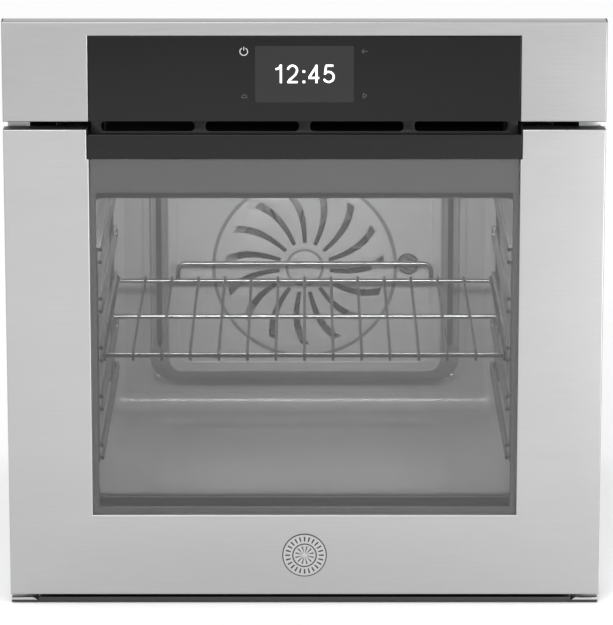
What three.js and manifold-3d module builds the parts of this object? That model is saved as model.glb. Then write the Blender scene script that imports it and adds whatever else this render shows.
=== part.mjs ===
// A 60 cm built-in wall oven, closed, in millimetres.
// X runs to the right seen from the front, Z up. Inside this file Y is the depth behind the front
// face; the last lines move the whole oven so that the origin is under its middle.
import * as THREE from "three";
import { mergeVertices } from "three/addons/utils/BufferGeometryUtils.js";
import Module from "manifold-3d";

const wasm = await Module();
wasm.setup();

// Overall sizes.
const WIDTH = 595;
const HEIGHT = 595;
const DEPTH = 568;
const FRONT_OVERLAP = 17.5;
const CLEAR = 0.4;

// Front: fascia above, door below, trim strip at the bottom.
const FASCIA_HEIGHT = 100;
const FASCIA_GAP = 7.5;
const FRONT_THICK = 20;
const SKIN = 1.2;
const DOOR_COLUMN = 84.5;
const GLASS_THICK = 4;
const GLASS_SET_BACK = 0.8;
const FASCIA_TOP_BAND = 14.3;
const DOOR_BOTTOM = 8.2;
const DOOR_RAIL = 84;
const HANDLE_HEIGHT = 25;
const HANDLE_DROP = 4.7;
const HANDLE_THICK = 5;
const HANDLE_OVERHANG = 1.6;
const TROUGH_DEPTH = 28;
const TROUGH_RISE = 11;
const WINDOW_BORDER = 5.4;
const WINDOW_TOP_BORDER = 34.3;
const BADGE_RADIUS = 22.5;
const BADGE_HEIGHT = 50;
const BADGE_THICK = 0.8;

// Control parts and the air grille under the fascia.
const DISPLAY_HALF = 48.5;
const DISPLAY_HEIGHT = 56.2;
const DISPLAY_DROP = 24.2;
const GRILLE_DEPTH = 30;
const GRILLE_DROP = 11.5;
const GRILLE_SLOTS = 4;
const GRILLE_BRIDGE = 11;

// Inner door.
const TRAY_INSET = 16;
const TRAY_RISE = 6.8;
const TRAY_DROP = 15.5;
const INNER_GLASS_REAR = 40;
const MIDDLE_GLASS_LAP = 12;
const MIDDLE_GLASS_BELOW = 8;
const MIDDLE_GLASS_ABOVE = 22.5;
const HOLDER_WIDTH = 16;

// Hinges: the pivot is just behind the lower edge of the door.
const PIVOT_DEPTH = 11;
const PIVOT_RISE = 11;
const HINGE_OFFSET = 10;
const HINGE_WIDTH = 14;
const HINGE_LENGTH = 176;
const ARM_HALF = 6.2;
const HINGE_PLATE = 1.5;
const ARM_THICK = 3;
const ARM_REACH = 70;
const PIN_RADIUS = 3;
const ROD_RADIUS = 2;
const ROD_TRAVEL = 18;
const SPRING_RADIUS = 4.2;
const SPRING_WIRE = 0.9;
const SPRING_TURNS = 10;

// Body behind the front.
const FLANGE_WIDTH = 22;
const FLANGE_DEPTH = 22;
const FRAME_DEPTH = 44;
const SHEET = 1;
const BODY_BOTTOM = 10;
const FRONT_DROP = 22;
const MIDDLE_DROP = 51;
const REAR_DROP = 98;
const FRONT_STEP = 140;
const MIDDLE_STEP = 300;
const RUNNER_X = 190;
const RUNNER_WIDTH = 40;

const FLANGE_BOTTOM = 40;
const GASKET_REACH = 9;
const TRIM_LIP = 5.6;
const TRIM_END = 28;
const GLAND_X = -215;
const GLAND_DROP = 38;
const GLAND_RADIUS = 9;

// Cavity.
const CAVITY_INSET = 64;
const CAVITY_FLOOR = 86;
const CAVITY_DROP = 59.5;
const CAVITY_BACK = 124;
const CAVITY_RADIUS = 20;
const CAVITY_WALL = 2;
const MOUTH_SIDE = 3;
const MOUTH_SILL = 15;
const MOUTH_LINTEL = 19;
const INSULATION = 30;
const BOTTOM_SPACE = 10;

// Fan, elements and lamp at the back of the cavity.
const FAN_OFFSET = 3;
const FAN_RADIUS = 74;
const FAN_BLADES = 14;
const FAN_COVER_DEPTH = 34;
const FAN_COVER_HALF = 150;
const FAN_COVER_SPLAY = 20;
const FAN_COVER_RISE = 34;
const FAN_COVER_DROP = 28;
const OUTLET_EDGE = 18;
const OUTLET_BRIDGE = 16;
const SWIRL_SLOTS = 15;
const SWIRL_INNER = 27;
const SWIRL_OUTER = 86;
const SWIRL_LEAN = 0.218;
const SWIRL_HALF = 4.2;
const RING_GAP = 16;
const ELEMENT_RADIUS = 3.5;
const RING_LEAD = 14;
const GRILL_DROP = 12;
const GRILL_LEAD = 25;
const SHAFT_RADIUS = 3;
const LAMP_GAP = 23;
const LAMP_RISE = 4;
const LAMP_RADIUS = 11;

// Shelf ladders and rack.
const LADDER_POST_GAP = 5.5;
const LADDER_STEP = 4.5;
const LADDER_WIRE = 2.5;
const LADDER_HEADROOM = 60;
const LADDER_RISE = 50.5;
const LADDER_PITCH = 51;
const LADDER_PAIR = 13;
const LADDER_SETBACK = 12;
const LADDER_BACK_GAP = 40;
const RACK_LEVEL = 2;
const RACK_WIRES = 15;
const RACK_WIRE = 1.6;
const RACK_BAR = 2;
const RACK_SIDE = 3.7;
const RACK_SETBACK = 14;
const RACK_BACK_GAP = 52;
const RACK_LIP = 20;
const RACK_LIP_HALF = 138;

// Cooling blower behind the fascia.
const BLOWER_DEPTH = 235;
const BLOWER_RISE = 27;
const BLOWER_RADIUS = 26;
const BLOWER_HALF = 100;
const BLOWER_BLADES = 16;
const DUCT_DROP = 9.5;
const DUCT_CLEAR = 1;

const PAINT = {
  brushed: { color: 0xc8c8c6, metalness: 1, roughness: 0.35 },
  bright: { color: 0xd8d8d8, metalness: 1, roughness: 0.2 },
  zinc: { color: 0xa0a4a6, metalness: 0.9, roughness: 0.5 },
  black: { color: 0x141414, metalness: 0, roughness: 0.55 },
  gloss: { color: 0x101012, metalness: 0, roughness: 0.1 },
  enamel: { color: 0x2c2d30, metalness: 0, roughness: 0.3 },
  glass: { color: 0x8a8f90, metalness: 0, roughness: 0.05 },
  rubber: { color: 0x202020, metalness: 0, roughness: 0.8 },
  wool: { color: 0xd6cfae, metalness: 0, roughness: 0.95 },
  board: { color: 0x1c5a34, metalness: 0, roughness: 0.6 },
  chrome: { color: 0xd0d2d4, metalness: 1, roughness: 0.15 },
  pale: { color: 0xe4e2da, metalness: 0, roughness: 0.5 },
};

const oven = new THREE.Group();

// The solid of a closed geometry.
function solid(geometry) {
  const bare = geometry.index ? geometry.toNonIndexed() : geometry.clone();
  bare.deleteAttribute("normal");
  bare.deleteAttribute("uv");
  const merged = mergeVertices(bare, 1e-3);
  return new wasm.Manifold(
    new wasm.Mesh({
      numProp: 3,
      vertProperties: merged.attributes.position.array,
      triVerts: new Uint32Array(merged.index.array),
    }),
  );
}

// The geometry of a solid.
function geometryOf(made) {
  const { numProp, vertProperties, triVerts } = made.getMesh();
  const points = new Float32Array((vertProperties.length / numProp) * 3);
  for (let i = 0; i * numProp < vertProperties.length; i += 1)
    points.set(vertProperties.subarray(i * numProp, i * numProp + 3), i * 3);
  const geometry = new THREE.BufferGeometry();
  geometry.setAttribute("position", new THREE.BufferAttribute(points, 3));
  geometry.setIndex(new THREE.BufferAttribute(triVerts, 1));
  return geometry;
}

// Adds one named piece to the oven.
function piece(name, made, paint) {
  const mesh = new THREE.Mesh(geometryOf(made), new THREE.MeshStandardMaterial(PAINT[paint]));
  mesh.name = name;
  oven.add(mesh);
}

function join(...solids) {
  return solids.reduce((whole, next) => whole.add(next));
}

function cut(whole, ...tools) {
  return tools.reduce((rest, tool) => rest.subtract(tool), whole);
}

function box(x0, x1, y0, y1, z0, z1) {
  const geometry = new THREE.BoxGeometry(x1 - x0, y1 - y0, z1 - z0);
  geometry.translate((x0 + x1) / 2, (y0 + y1) / 2, (z0 + z1) / 2);
  return solid(geometry);
}

// A box that reaches half its width to each side of the middle plane.
function slab(half, y0, y1, z0, z1) {
  return box(-half, half, y0, y1, z0, z1);
}

// A box between two X values given in either order.
function span(xa, xb, y0, y1, z0, z1) {
  return box(Math.min(xa, xb), Math.max(xa, xb), y0, y1, z0, z1);
}

// A round bar from one point to another.
function bar(from, to, radius, sides = 6) {
  const start = new THREE.Vector3(...from);
  const end = new THREE.Vector3(...to);
  const along = end.clone().sub(start);
  const geometry = new THREE.CylinderGeometry(radius, radius, along.length(), sides);
  const turn = new THREE.Quaternion();
  turn.setFromUnitVectors(new THREE.Vector3(0, 1, 0), along.clone().normalize());
  geometry.applyQuaternion(turn);
  geometry.translate(...start.add(end).multiplyScalar(0.5).toArray());
  return solid(geometry);
}

// A plate whose outline is drawn in X and Z, between two depths.
function plate(shape, y0, y1, curveSegments = 6) {
  const geometry = new THREE.ExtrudeGeometry(shape, {
    depth: y1 - y0,
    bevelEnabled: false,
    curveSegments,
  });
  geometry.rotateX(Math.PI / 2);
  geometry.translate(0, y1, 0);
  return solid(geometry);
}

// A length along X whose section is drawn in depth and Z.
function profile(shape, x0, x1, curveSegments = 6) {
  const geometry = new THREE.ExtrudeGeometry(shape, {
    depth: x1 - x0,
    bevelEnabled: false,
    curveSegments,
  });
  const swap = new THREE.Matrix4().makeBasis(
    new THREE.Vector3(0, 1, 0),
    new THREE.Vector3(0, 0, 1),
    new THREE.Vector3(1, 0, 0),
  );
  geometry.applyMatrix4(swap);
  geometry.translate(x0, 0, 0);
  return solid(geometry);
}

function polygon(points) {
  return new THREE.Shape(points.map(([a, b]) => new THREE.Vector2(a, b)));
}

// A rectangle with its four corners rounded.
function roundedRect(a0, a1, b0, b1, radius, shape = new THREE.Shape()) {
  shape.moveTo(a0 + radius, b0);
  shape.lineTo(a1 - radius, b0);
  shape.absarc(a1 - radius, b0 + radius, radius, -Math.PI / 2, 0);
  shape.lineTo(a1, b1 - radius);
  shape.absarc(a1 - radius, b1 - radius, radius, 0, Math.PI / 2);
  shape.lineTo(a0 + radius, b1);
  shape.absarc(a0 + radius, b1 - radius, radius, Math.PI / 2, Math.PI);
  shape.lineTo(a0, b0 + radius);
  shape.absarc(a0 + radius, b0 + radius, radius, Math.PI, Math.PI * 1.5);
  return shape;
}

// A wire swept along a smooth curve.
function wire(curve, radius, sides, steps) {
  const section = new THREE.Shape();
  for (let i = 0; i < sides; i += 1) {
    const angle = (i / sides) * 2 * Math.PI;
    const method = i === 0 ? "moveTo" : "lineTo";
    section[method](radius * Math.cos(angle), radius * Math.sin(angle));
  }
  section.closePath();
  return solid(new THREE.ExtrudeGeometry(section, { extrudePath: curve, steps }));
}

// A straight-sided path with rounded corners through the given points.
function bentPath(points, radius) {
  const corners = points.map((p) => new THREE.Vector3(...p));
  const path = new THREE.CurvePath();
  let from = corners[0];
  for (let i = 1; i < corners.length - 1; i += 1) {
    const corner = corners[i];
    const back = corners[i - 1].clone().sub(corner).normalize();
    const ahead = corners[i + 1].clone().sub(corner).normalize();
    const enter = corner.clone().addScaledVector(back, radius);
    const leave = corner.clone().addScaledVector(ahead, radius);
    path.add(new THREE.LineCurve3(from, enter));
    path.add(new THREE.QuadraticBezierCurve3(enter, corner, leave));
    from = leave;
  }
  path.add(new THREE.LineCurve3(from, corners[corners.length - 1]));
  return path;
}

// Levels and lines that several pieces share.
const half = WIDTH / 2;
const glassHalf = half - DOOR_COLUMN;
const fasciaBottom = HEIGHT - FASCIA_HEIGHT;
const doorTop = fasciaBottom - FASCIA_GAP;
const glassBottom = DOOR_BOTTOM + DOOR_RAIL;
const handleTop = doorTop - HANDLE_DROP;
const handleBottom = handleTop - HANDLE_HEIGHT;
const handleHalf = glassHalf + HANDLE_OVERHANG;
const notchHalf = handleHalf + CLEAR;
const glassBack = GLASS_SET_BACK + GLASS_THICK;
const windowHalf = glassHalf - WINDOW_BORDER;
const windowBottom = glassBottom + WINDOW_BORDER;
const windowTop = handleBottom - WINDOW_TOP_BORDER;
const displayTop = HEIGHT - DISPLAY_DROP;
const displayBottom = displayTop - DISPLAY_HEIGHT;
const grilleBottom = doorTop - GRILLE_DROP;

const bodyHalf = half - FRONT_OVERLAP;
const trayHalf = bodyHalf - TRAY_INSET;
const trayFront = FRONT_THICK + 0.6;
const trayRear = INNER_GLASS_REAR - GLASS_THICK - 0.4;
const trayBottom = DOOR_BOTTOM + TRAY_RISE;
const trayTop = doorTop - TRAY_DROP;
const middleGlassHalf = glassHalf + MIDDLE_GLASS_LAP;
const holderInner = middleGlassHalf - HOLDER_WIDTH / 2 + 0.5;
const hingeX = trayHalf + HINGE_OFFSET;
const pivotHeight = DOOR_BOTTOM + PIVOT_RISE;

const frameTop = trayTop + 2;
const frontTop = HEIGHT - FRONT_DROP;
const middleTop = HEIGHT - MIDDLE_DROP;
const rearTop = HEIGHT - REAR_DROP;
const rearFace = DEPTH - BADGE_THICK;
const glandHeight = rearTop - GLAND_DROP;

const cavityHalf = bodyHalf - CAVITY_INSET;
const cavityTop = doorTop - CAVITY_DROP;
const cavityRear = DEPTH - CAVITY_BACK;
const mouthHalf = cavityHalf - MOUTH_SIDE;
const mouthBottom = CAVITY_FLOOR + MOUTH_SILL;
const mouthTop = cavityTop - MOUTH_LINTEL;
const fanHeight = (CAVITY_FLOOR + cavityTop) / 2 - FAN_OFFSET;
const ringRadius = FAN_RADIUS + RING_GAP;
const lampX = ringRadius + LAMP_GAP;
const fanCoverBottom = CAVITY_FLOOR + FAN_COVER_RISE;
const fanCoverTop = cavityTop - FAN_COVER_DROP;
const grillHeight = cavityTop - GRILL_DROP;
const lampHeight = fanHeight + LAMP_RISE;
const ringLeadHeight = fanHeight + Math.sqrt(ringRadius ** 2 - RING_LEAD ** 2);
const leadEnd = cavityRear + CAVITY_WALL + 1.5;

const ladderPostX = cavityHalf - LADDER_POST_GAP;
const ladderX = ladderPostX - LADDER_STEP;
const ladderFirst = CAVITY_FLOOR + LADDER_RISE;
const ladderLevels = Math.floor((cavityTop - LADDER_HEADROOM - ladderFirst - LADDER_PAIR) / LADDER_PITCH) + 1;
const ladderFront = FRAME_DEPTH + LADDER_SETBACK;
const ladderRear = cavityRear - LADDER_BACK_GAP;
const rackFront = FRAME_DEPTH + RACK_SETBACK;
const rackRear = cavityRear - RACK_BACK_GAP;
const rackPitch = (2 * (ladderX - RACK_SIDE)) / (RACK_WIRES - 1);

const ductBottom = doorTop - DUCT_DROP;
const ductTop = fasciaBottom - DUCT_CLEAR;
const blowerHeight = ductBottom + BLOWER_RISE;

// The steel skin of the door: a U with its edges folded back round the glass and the sides.
function doorPanel() {
  const outline = polygon([
    [-half, DOOR_BOTTOM],
    [half, DOOR_BOTTOM],
    [half, doorTop],
    [notchHalf, doorTop],
    [notchHalf, handleBottom],
    [glassHalf, handleBottom],
    [glassHalf, glassBottom],
    [-glassHalf, glassBottom],
    [-glassHalf, handleBottom],
    [-notchHalf, handleBottom],
    [-notchHalf, doorTop],
    [-half, doorTop],
  ]);
  const lip = glassHalf + SKIN;
  const front = plate(outline, 0, SKIN);
  const bottom = slab(half, 0, FRONT_THICK, DOOR_BOTTOM, DOOR_BOTTOM + SKIN);
  const rail = slab(lip, 0, FRONT_THICK / 2, glassBottom - SKIN, glassBottom);
  const folds = [-1, 1].map((side) => {
    const outer = side * (half - SKIN / 2);
    const inner = side * (glassHalf + SKIN / 2);
    const notch = side * (notchHalf + SKIN / 2);
    const fold = (x, depth, z0, z1) => box(x - SKIN / 2, x + SKIN / 2, 0, depth, z0, z1);
    return join(
      fold(outer, FRONT_THICK, DOOR_BOTTOM, doorTop),
      fold(inner, FRONT_THICK / 2, glassBottom - SKIN, handleBottom),
      fold(notch, FRONT_THICK, handleBottom, doorTop),
    );
  });
  const slots = [-1, 1].map((side) => {
    const x = side * hingeX;
    const reach = ARM_THICK / 2 + 1.5;
    return box(x - reach, x + reach, SKIN + 2, FRONT_THICK + 1, 0, DOOR_BOTTOM + 2 * SKIN);
  });
  piece("door_outer_panel", cut(join(front, bottom, rail, ...folds), ...slots), "brushed");
}

function doorGlasses() {
  const edge = glassHalf - CLEAR;
  const top = handleBottom - CLEAR;
  const outer = roundedRect(-edge, edge, glassBottom + CLEAR, top, 1.5);
  piece("door_glass_outer", plate(outer, GLASS_SET_BACK, glassBack, 3), "glass");
  const middle = (trayFront + trayRear) / 2;
  const holderEdge = middleGlassHalf - CLEAR;
  const middleFront = middle - GLASS_THICK / 2 + 1;
  const middleRear = middleFront + GLASS_THICK;
  const paneBottom = glassBottom - MIDDLE_GLASS_BELOW;
  const paneTop = windowTop + MIDDLE_GLASS_ABOVE;
  const middleGlass = slab(holderEdge, middleFront, middleRear, paneBottom, paneTop);
  piece("door_glass_middle", middleGlass, "glass");
  const inner = roundedRect(2 - trayHalf, trayHalf - 2, trayBottom + 3, trayTop - 10, 3);
  const innerFront = INNER_GLASS_REAR - GLASS_THICK;
  piece("door_glass_inner", plate(inner, innerFront, INNER_GLASS_REAR, 3), "glass");
  [-1, 1].forEach((side) => {
    const groove = slab(middleGlassHalf, middleFront - CLEAR, middleRear + CLEAR, paneBottom - 1, paneTop + 1);
    const near = side * holderInner;
    const far = side * (holderInner + HOLDER_WIDTH);
    const strip = span(near, far, trayFront + SKIN + 0.5, trayRear, paneBottom - 6, paneTop + 6);
    piece(side < 0 ? "glass_holder_left" : "glass_holder_right", cut(strip, groove), "black");
  });
}

// The bar that the fingers pull, with a web that carries it on the finger trough.
function doorHandle() {
  const face = roundedRect(-handleHalf, handleHalf, handleBottom, handleTop, 4);
  const slant = polygon([
    [-1, handleTop - 3],
    [HANDLE_THICK + 1, handleTop + 0.01],
    [HANDLE_THICK + 1, handleTop + 4],
    [-1, handleTop + 4],
  ]);
  const lip = cut(plate(face, 0, HANDLE_THICK, 4), profile(slant, -half, half));
  const web = slab(handleHalf - 4, HANDLE_THICK - 1, 15, handleBottom + 0.5, handleBottom + 3.5);
  piece("door_handle", join(lip, web), "zinc");
  const floor = handleBottom + 3.9;
  const start = HANDLE_THICK + CLEAR;
  const wall = TROUGH_DEPTH - SKIN;
  const section = polygon([
    [start, floor],
    [TROUGH_DEPTH, floor],
    [TROUGH_DEPTH, floor + TROUGH_RISE],
    [wall, floor + TROUGH_RISE],
    [wall, floor + SKIN + 2],
    [wall - 2, floor + SKIN],
    [start, floor + SKIN],
  ]);
  const opening = handleHalf - 0.6;
  piece("finger_trough", profile(section, -opening, opening), "black");
  [-1, 1].forEach((side) => {
    const near = notchHalf + SKIN + CLEAR;
    const far = half - SKIN - CLEAR;
    const top = doorTop - 0.2;
    const cap = polygon([
      [SKIN + CLEAR, top - 4],
      [FRONT_THICK, top - 4],
      [FRONT_THICK, top],
      [SKIN + CLEAR + 1, top],
      [SKIN + CLEAR, top - 1],
    ]);
    const made = side < 0 ? profile(cap, -far, -near) : profile(cap, near, far);
    piece(side < 0 ? "door_top_cap_left" : "door_top_cap_right", made, "black");
  });
}

// A plain round boss, pressed on the lower rail.
function doorBadge() {
  const rim = BADGE_RADIUS - 1.2;
  const face = -BADGE_THICK;
  const points = [
    [0, face * 0.6],
    [rim * 0.86, face * 0.6],
    [rim * 0.92, face],
    [rim, face],
    [BADGE_RADIUS, face * 0.5],
    [BADGE_RADIUS, -0.1],
    [0, -0.1],
  ];
  piece("door_badge", turned(points, 32).translate([0, 0, BADGE_HEIGHT]), "zinc");
}

// A pressed tray behind the skin, open in the middle, that carries the inner glasses.
function doorTray() {
  const shape = roundedRect(-trayHalf, trayHalf, trayBottom, trayTop, 6);
  const window = windowHalf + 3;
  shape.holes.push(roundedRect(-window, window, windowBottom - 3, windowTop + 3, 4, new THREE.Path()));
  const back = plate(shape, trayFront, trayFront + SKIN, 3);
  const outer = plate(roundedRect(-trayHalf, trayHalf, trayBottom, trayTop, 6), trayFront, trayRear, 3);
  const within = trayHalf - SKIN;
  const hollowShape = roundedRect(-within, within, trayBottom + SKIN, trayTop - SKIN, 5);
  const wall = cut(outer, plate(hollowShape, trayFront - 1, trayRear + 1, 3));
  const trough = slab(handleHalf, trayFront - 1, TROUGH_DEPTH + CLEAR, handleBottom + 3, trayTop + 1);
  piece("door_inner_tray", cut(join(back, wall), trough), "enamel");
  const clamp = polygon([
    [trayRear - 1.5, trayTop - 9.6],
    [INNER_GLASS_REAR + 1.5, trayTop - 9.6],
    [INNER_GLASS_REAR + 1.5, trayTop - 2],
    [INNER_GLASS_REAR, trayTop + 1.5],
    [trayRear + CLEAR, trayTop + 1.5],
    [trayRear + CLEAR, trayTop - 7],
    [trayRear - 1.5, trayTop - 7],
  ]);
  piece("door_top_profile", profile(clamp, 7 - trayHalf, trayHalf - 7), "black");
}

// Each hinge: a housing with its riveted pin, a sprung rod, and the arm that hooks into the body.
function hinge(side) {
  const tail = side < 0 ? "_left" : "_right";
  const x = side * hingeX;
  const reach = HINGE_WIDTH / 2;
  const bottom = DOOR_BOTTOM + SKIN + 0.8;
  const top = bottom + HINGE_LENGTH;
  const stop = bottom + 50;
  const front = SKIN + 1;
  const channel = cut(
    box(x - reach, x + reach, front, FRONT_THICK - 0.5, bottom, top),
    box(x - reach + HINGE_PLATE, x + reach - HINGE_PLATE, front + HINGE_PLATE, FRONT_THICK, 0, top + 1),
  );
  const abutment = box(x - reach + 1, x + reach - 1, front + 1, FRONT_THICK - 0.5, stop, stop + 2);
  const hole = bar([x, PIVOT_DEPTH, stop - 2], [x, PIVOT_DEPTH, stop + 4], ROD_RADIUS + 0.5, 12);
  const acrossPivot = (out, radius) =>
    bar([x - out, PIVOT_DEPTH, pivotHeight], [x + out, PIVOT_DEPTH, pivotHeight], radius, 12);
  const pin = acrossPivot(reach + 1, PIN_RADIUS);
  piece("hinge_housing" + tail, join(cut(join(channel, abutment), hole), pin), "bright");

  const rodTop = top - 14;
  const eye = pivotHeight + 10 + ROD_TRAVEL;
  const rod = bar([x, PIVOT_DEPTH, eye], [x, PIVOT_DEPTH, rodTop], ROD_RADIUS, 10);
  const collar = bar([x, PIVOT_DEPTH, rodTop - 2], [x, PIVOT_DEPTH, rodTop], SPRING_RADIUS, 12);
  piece("hinge_rod" + tail, join(rod, collar), "bright");
  const seat = stop + 2 + CLEAR + SPRING_WIRE;
  const rise = rodTop - 2 - CLEAR - SPRING_WIRE - seat;
  class Coil extends THREE.Curve {
    getPoint(t, target = new THREE.Vector3()) {
      const angle = 2 * Math.PI * SPRING_TURNS * t;
      const r = SPRING_RADIUS - SPRING_WIRE + 0.6;
      return target.set(x + r * Math.cos(angle), PIVOT_DEPTH + r * Math.sin(angle), seat + rise * t);
    }
  }
  piece("hinge_spring" + tail, wire(new Coil(), SPRING_WIRE, 4, SPRING_TURNS * 7), "bright");

  const armHalf = ARM_THICK / 2;
  const armEnd = PIVOT_DEPTH + ARM_REACH;
  const shape = new THREE.Shape();
  shape.absarc(PIVOT_DEPTH, pivotHeight, ARM_HALF, Math.PI / 2, Math.PI * 1.5);
  shape.lineTo(armEnd, pivotHeight - ARM_HALF);
  shape.lineTo(armEnd, pivotHeight + ARM_HALF);
  shape.lineTo(armEnd - 10, pivotHeight + ARM_HALF);
  shape.lineTo(armEnd - 10, pivotHeight + 3);
  shape.lineTo(armEnd - 14, pivotHeight + 3);
  shape.lineTo(armEnd - 14, pivotHeight + ARM_HALF);
  shape.closePath();
  const bore = acrossPivot(reach + 2, PIN_RADIUS + CLEAR);
  piece("hinge_arm" + tail, cut(profile(shape, x - armHalf, x + armHalf, 5), bore), "bright");
}

// The steel fascia, its glass, and the control parts behind it.
function controls() {
  const outline = roundedRect(-half, half, fasciaBottom, HEIGHT, 1);
  const opening = slab(glassHalf, -1, SKIN + 1, fasciaBottom - 1, HEIGHT - FASCIA_TOP_BAND);
  const face = cut(plate(outline, 0, SKIN, 2), opening);
  const top = slab(half - 1, 0, FRONT_THICK, HEIGHT - SKIN, HEIGHT);
  const sides = [-1, 1].map((side) => {
    const x = side * (half - SKIN / 2);
    return box(x - SKIN / 2, x + SKIN / 2, 0, FRONT_THICK, fasciaBottom, HEIGHT - 1);
  });
  piece("fascia_panel", join(face, top, ...sides), "brushed");
  const edge = glassHalf - CLEAR;
  const glassTop = HEIGHT - FASCIA_TOP_BAND - CLEAR;
  const glass = roundedRect(-edge, edge, fasciaBottom + CLEAR, glassTop, 1.5);
  piece("control_glass", plate(glass, GLASS_SET_BACK, glassBack, 3), "gloss");

  const front = glassBack + CLEAR;
  const pocket = slab(DISPLAY_HALF + 1, front - 1, front + 9, displayBottom - 1, displayTop + 1);
  const housing = cut(
    slab(glassHalf + 2, front, FRONT_THICK - 1, fasciaBottom + 2, glassTop + 3),
    slab(glassHalf, front + 7, FRONT_THICK, fasciaBottom + 4, glassTop + 1),
    pocket,
  );
  piece("control_housing", housing, "black");
  const display = slab(DISPLAY_HALF, front, front + 6, displayBottom, displayTop);
  piece("display_module", display, "gloss");
  const board = slab(glassHalf - 40, front + 9.4, front + 11, fasciaBottom + 8, glassTop - 3);
  piece("control_board", board, "board");

  const support = join(
    slab(bodyHalf - 8, FLANGE_DEPTH - 1, FLANGE_DEPTH - 1 + SKIN, fasciaBottom + 2, frontTop - 2),
    slab(bodyHalf - 8, FLANGE_DEPTH - 1, FRAME_DEPTH + 30, fasciaBottom + 2, fasciaBottom + 2 + SKIN),
  );
  piece("fascia_support", support, "bright");

  const grilleTop = fasciaBottom - 1;
  const grille = join(
    slab(glassHalf - 1, GRILLE_DEPTH, GRILLE_DEPTH + SKIN, grilleBottom, grilleTop),
    slab(glassHalf - 1, GRILLE_DEPTH, FRAME_DEPTH - CLEAR, grilleBottom, grilleBottom + SKIN),
  );
  const pitch = (2 * glassHalf - GRILLE_BRIDGE) / GRILLE_SLOTS;
  const slots = Array.from({ length: GRILLE_SLOTS }, (_, i) => {
    const x0 = -glassHalf + GRILLE_BRIDGE + i * pitch;
    const x1 = x0 + pitch - GRILLE_BRIDGE;
    const shape = roundedRect(x0, x1, grilleBottom + 4, grilleTop - 4, 4);
    return plate(shape, GRILLE_DEPTH - 1, GRILLE_DEPTH + SKIN + 1, 2);
  });
  piece("cooling_grille", cut(grille, ...slots), "black");
}

// The pieces that close the oven to the cupboard round it.
function frontFrame() {
  const shape = roundedRect(-bodyHalf, bodyHalf, BODY_BOTTOM, frameTop, 1);
  shape.holes.push(roundedRect(-mouthHalf, mouthHalf, mouthBottom, mouthTop, 14, new THREE.Path()));
  const slots = [-1, 1].map((side) => {
    const x = side * hingeX;
    return box(x - 3, x + 3, FRAME_DEPTH - 1, FRAME_DEPTH + 3, pivotHeight - 8, pivotHeight + 8);
  });
  piece("front_frame", cut(plate(shape, FRAME_DEPTH, FRAME_DEPTH + SKIN, 4), ...slots), "enamel");

  const reach = GASKET_REACH;
  const outer = roundedRect(-mouthHalf - reach, mouthHalf + reach, mouthBottom - reach, mouthTop + reach, 18);
  const tube = reach - 3;
  const bore = new THREE.Path();
  roundedRect(-mouthHalf - tube, mouthHalf + tube, mouthBottom - tube, mouthTop + tube, 13, bore);
  outer.holes.push(bore);
  const room = (FRAME_DEPTH - INNER_GLASS_REAR) / 2;
  const middle = FRAME_DEPTH - room;
  piece("door_gasket", plate(outer, middle - room + CLEAR, middle + room - CLEAR, 4), "rubber");

  [-1, 1].forEach((side) => {
    const tail = side < 0 ? "_left" : "_right";
    const far = side * (bodyHalf + FLANGE_WIDTH / 2 + 3);
    const near = side * (bodyHalf - FLANGE_WIDTH / 2 + 3);
    const web = side * (bodyHalf - SKIN);
    const top = fasciaBottom + 1;
    const face = span(near, far, FLANGE_DEPTH, FLANGE_DEPTH + SKIN, FLANGE_BOTTOM, top);
    const fold = span(web, side * bodyHalf, FLANGE_DEPTH, FRAME_DEPTH - CLEAR, FLANGE_BOTTOM, top);
    const holes = [FLANGE_BOTTOM + 30, fasciaBottom - 30].map((z) => {
      const x = side * (bodyHalf + 6);
      return bar([x, FLANGE_DEPTH - 2, z], [x, FLANGE_DEPTH + 4, z], 2.5, 12);
    });
    piece("side_flange" + tail, cut(join(face, fold), ...holes), "bright");
  });

  const low = 0.4;
  const lip = polygon([
    [0.5, low],
    [FRAME_DEPTH - 0.6, low],
    [FRAME_DEPTH - 0.6, BODY_BOTTOM + 3],
    [FRAME_DEPTH - 0.6 - SKIN, BODY_BOTTOM + 3],
    [FRAME_DEPTH - 0.6 - SKIN, low + SKIN],
    [0.5 + SKIN, low + SKIN],
    [0.5 + SKIN, TRIM_LIP],
    [0.5, TRIM_LIP],
  ]);
  const trimHalf = half - TRIM_END;
  piece("bottom_trim", profile(lip, -trimHalf, trimHalf), "black");
  [-1, 1].forEach((side) => {
    const end = polygon([
      [0.5, low],
      [FRONT_THICK, low],
      [FRONT_THICK, low + SKIN],
      [0.5 + SKIN, low + SKIN],
      [0.5 + SKIN, TRIM_LIP - 0.6],
      [0.5, TRIM_LIP - 0.6],
    ]);
    const from = side < 0 ? -half + 1 : trimHalf + CLEAR;
    const to = side < 0 ? -trimHalf - CLEAR : half - 1;
    piece(side < 0 ? "trim_end_left" : "trim_end_right", profile(end, from, to), "bright");
  });
}

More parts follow.
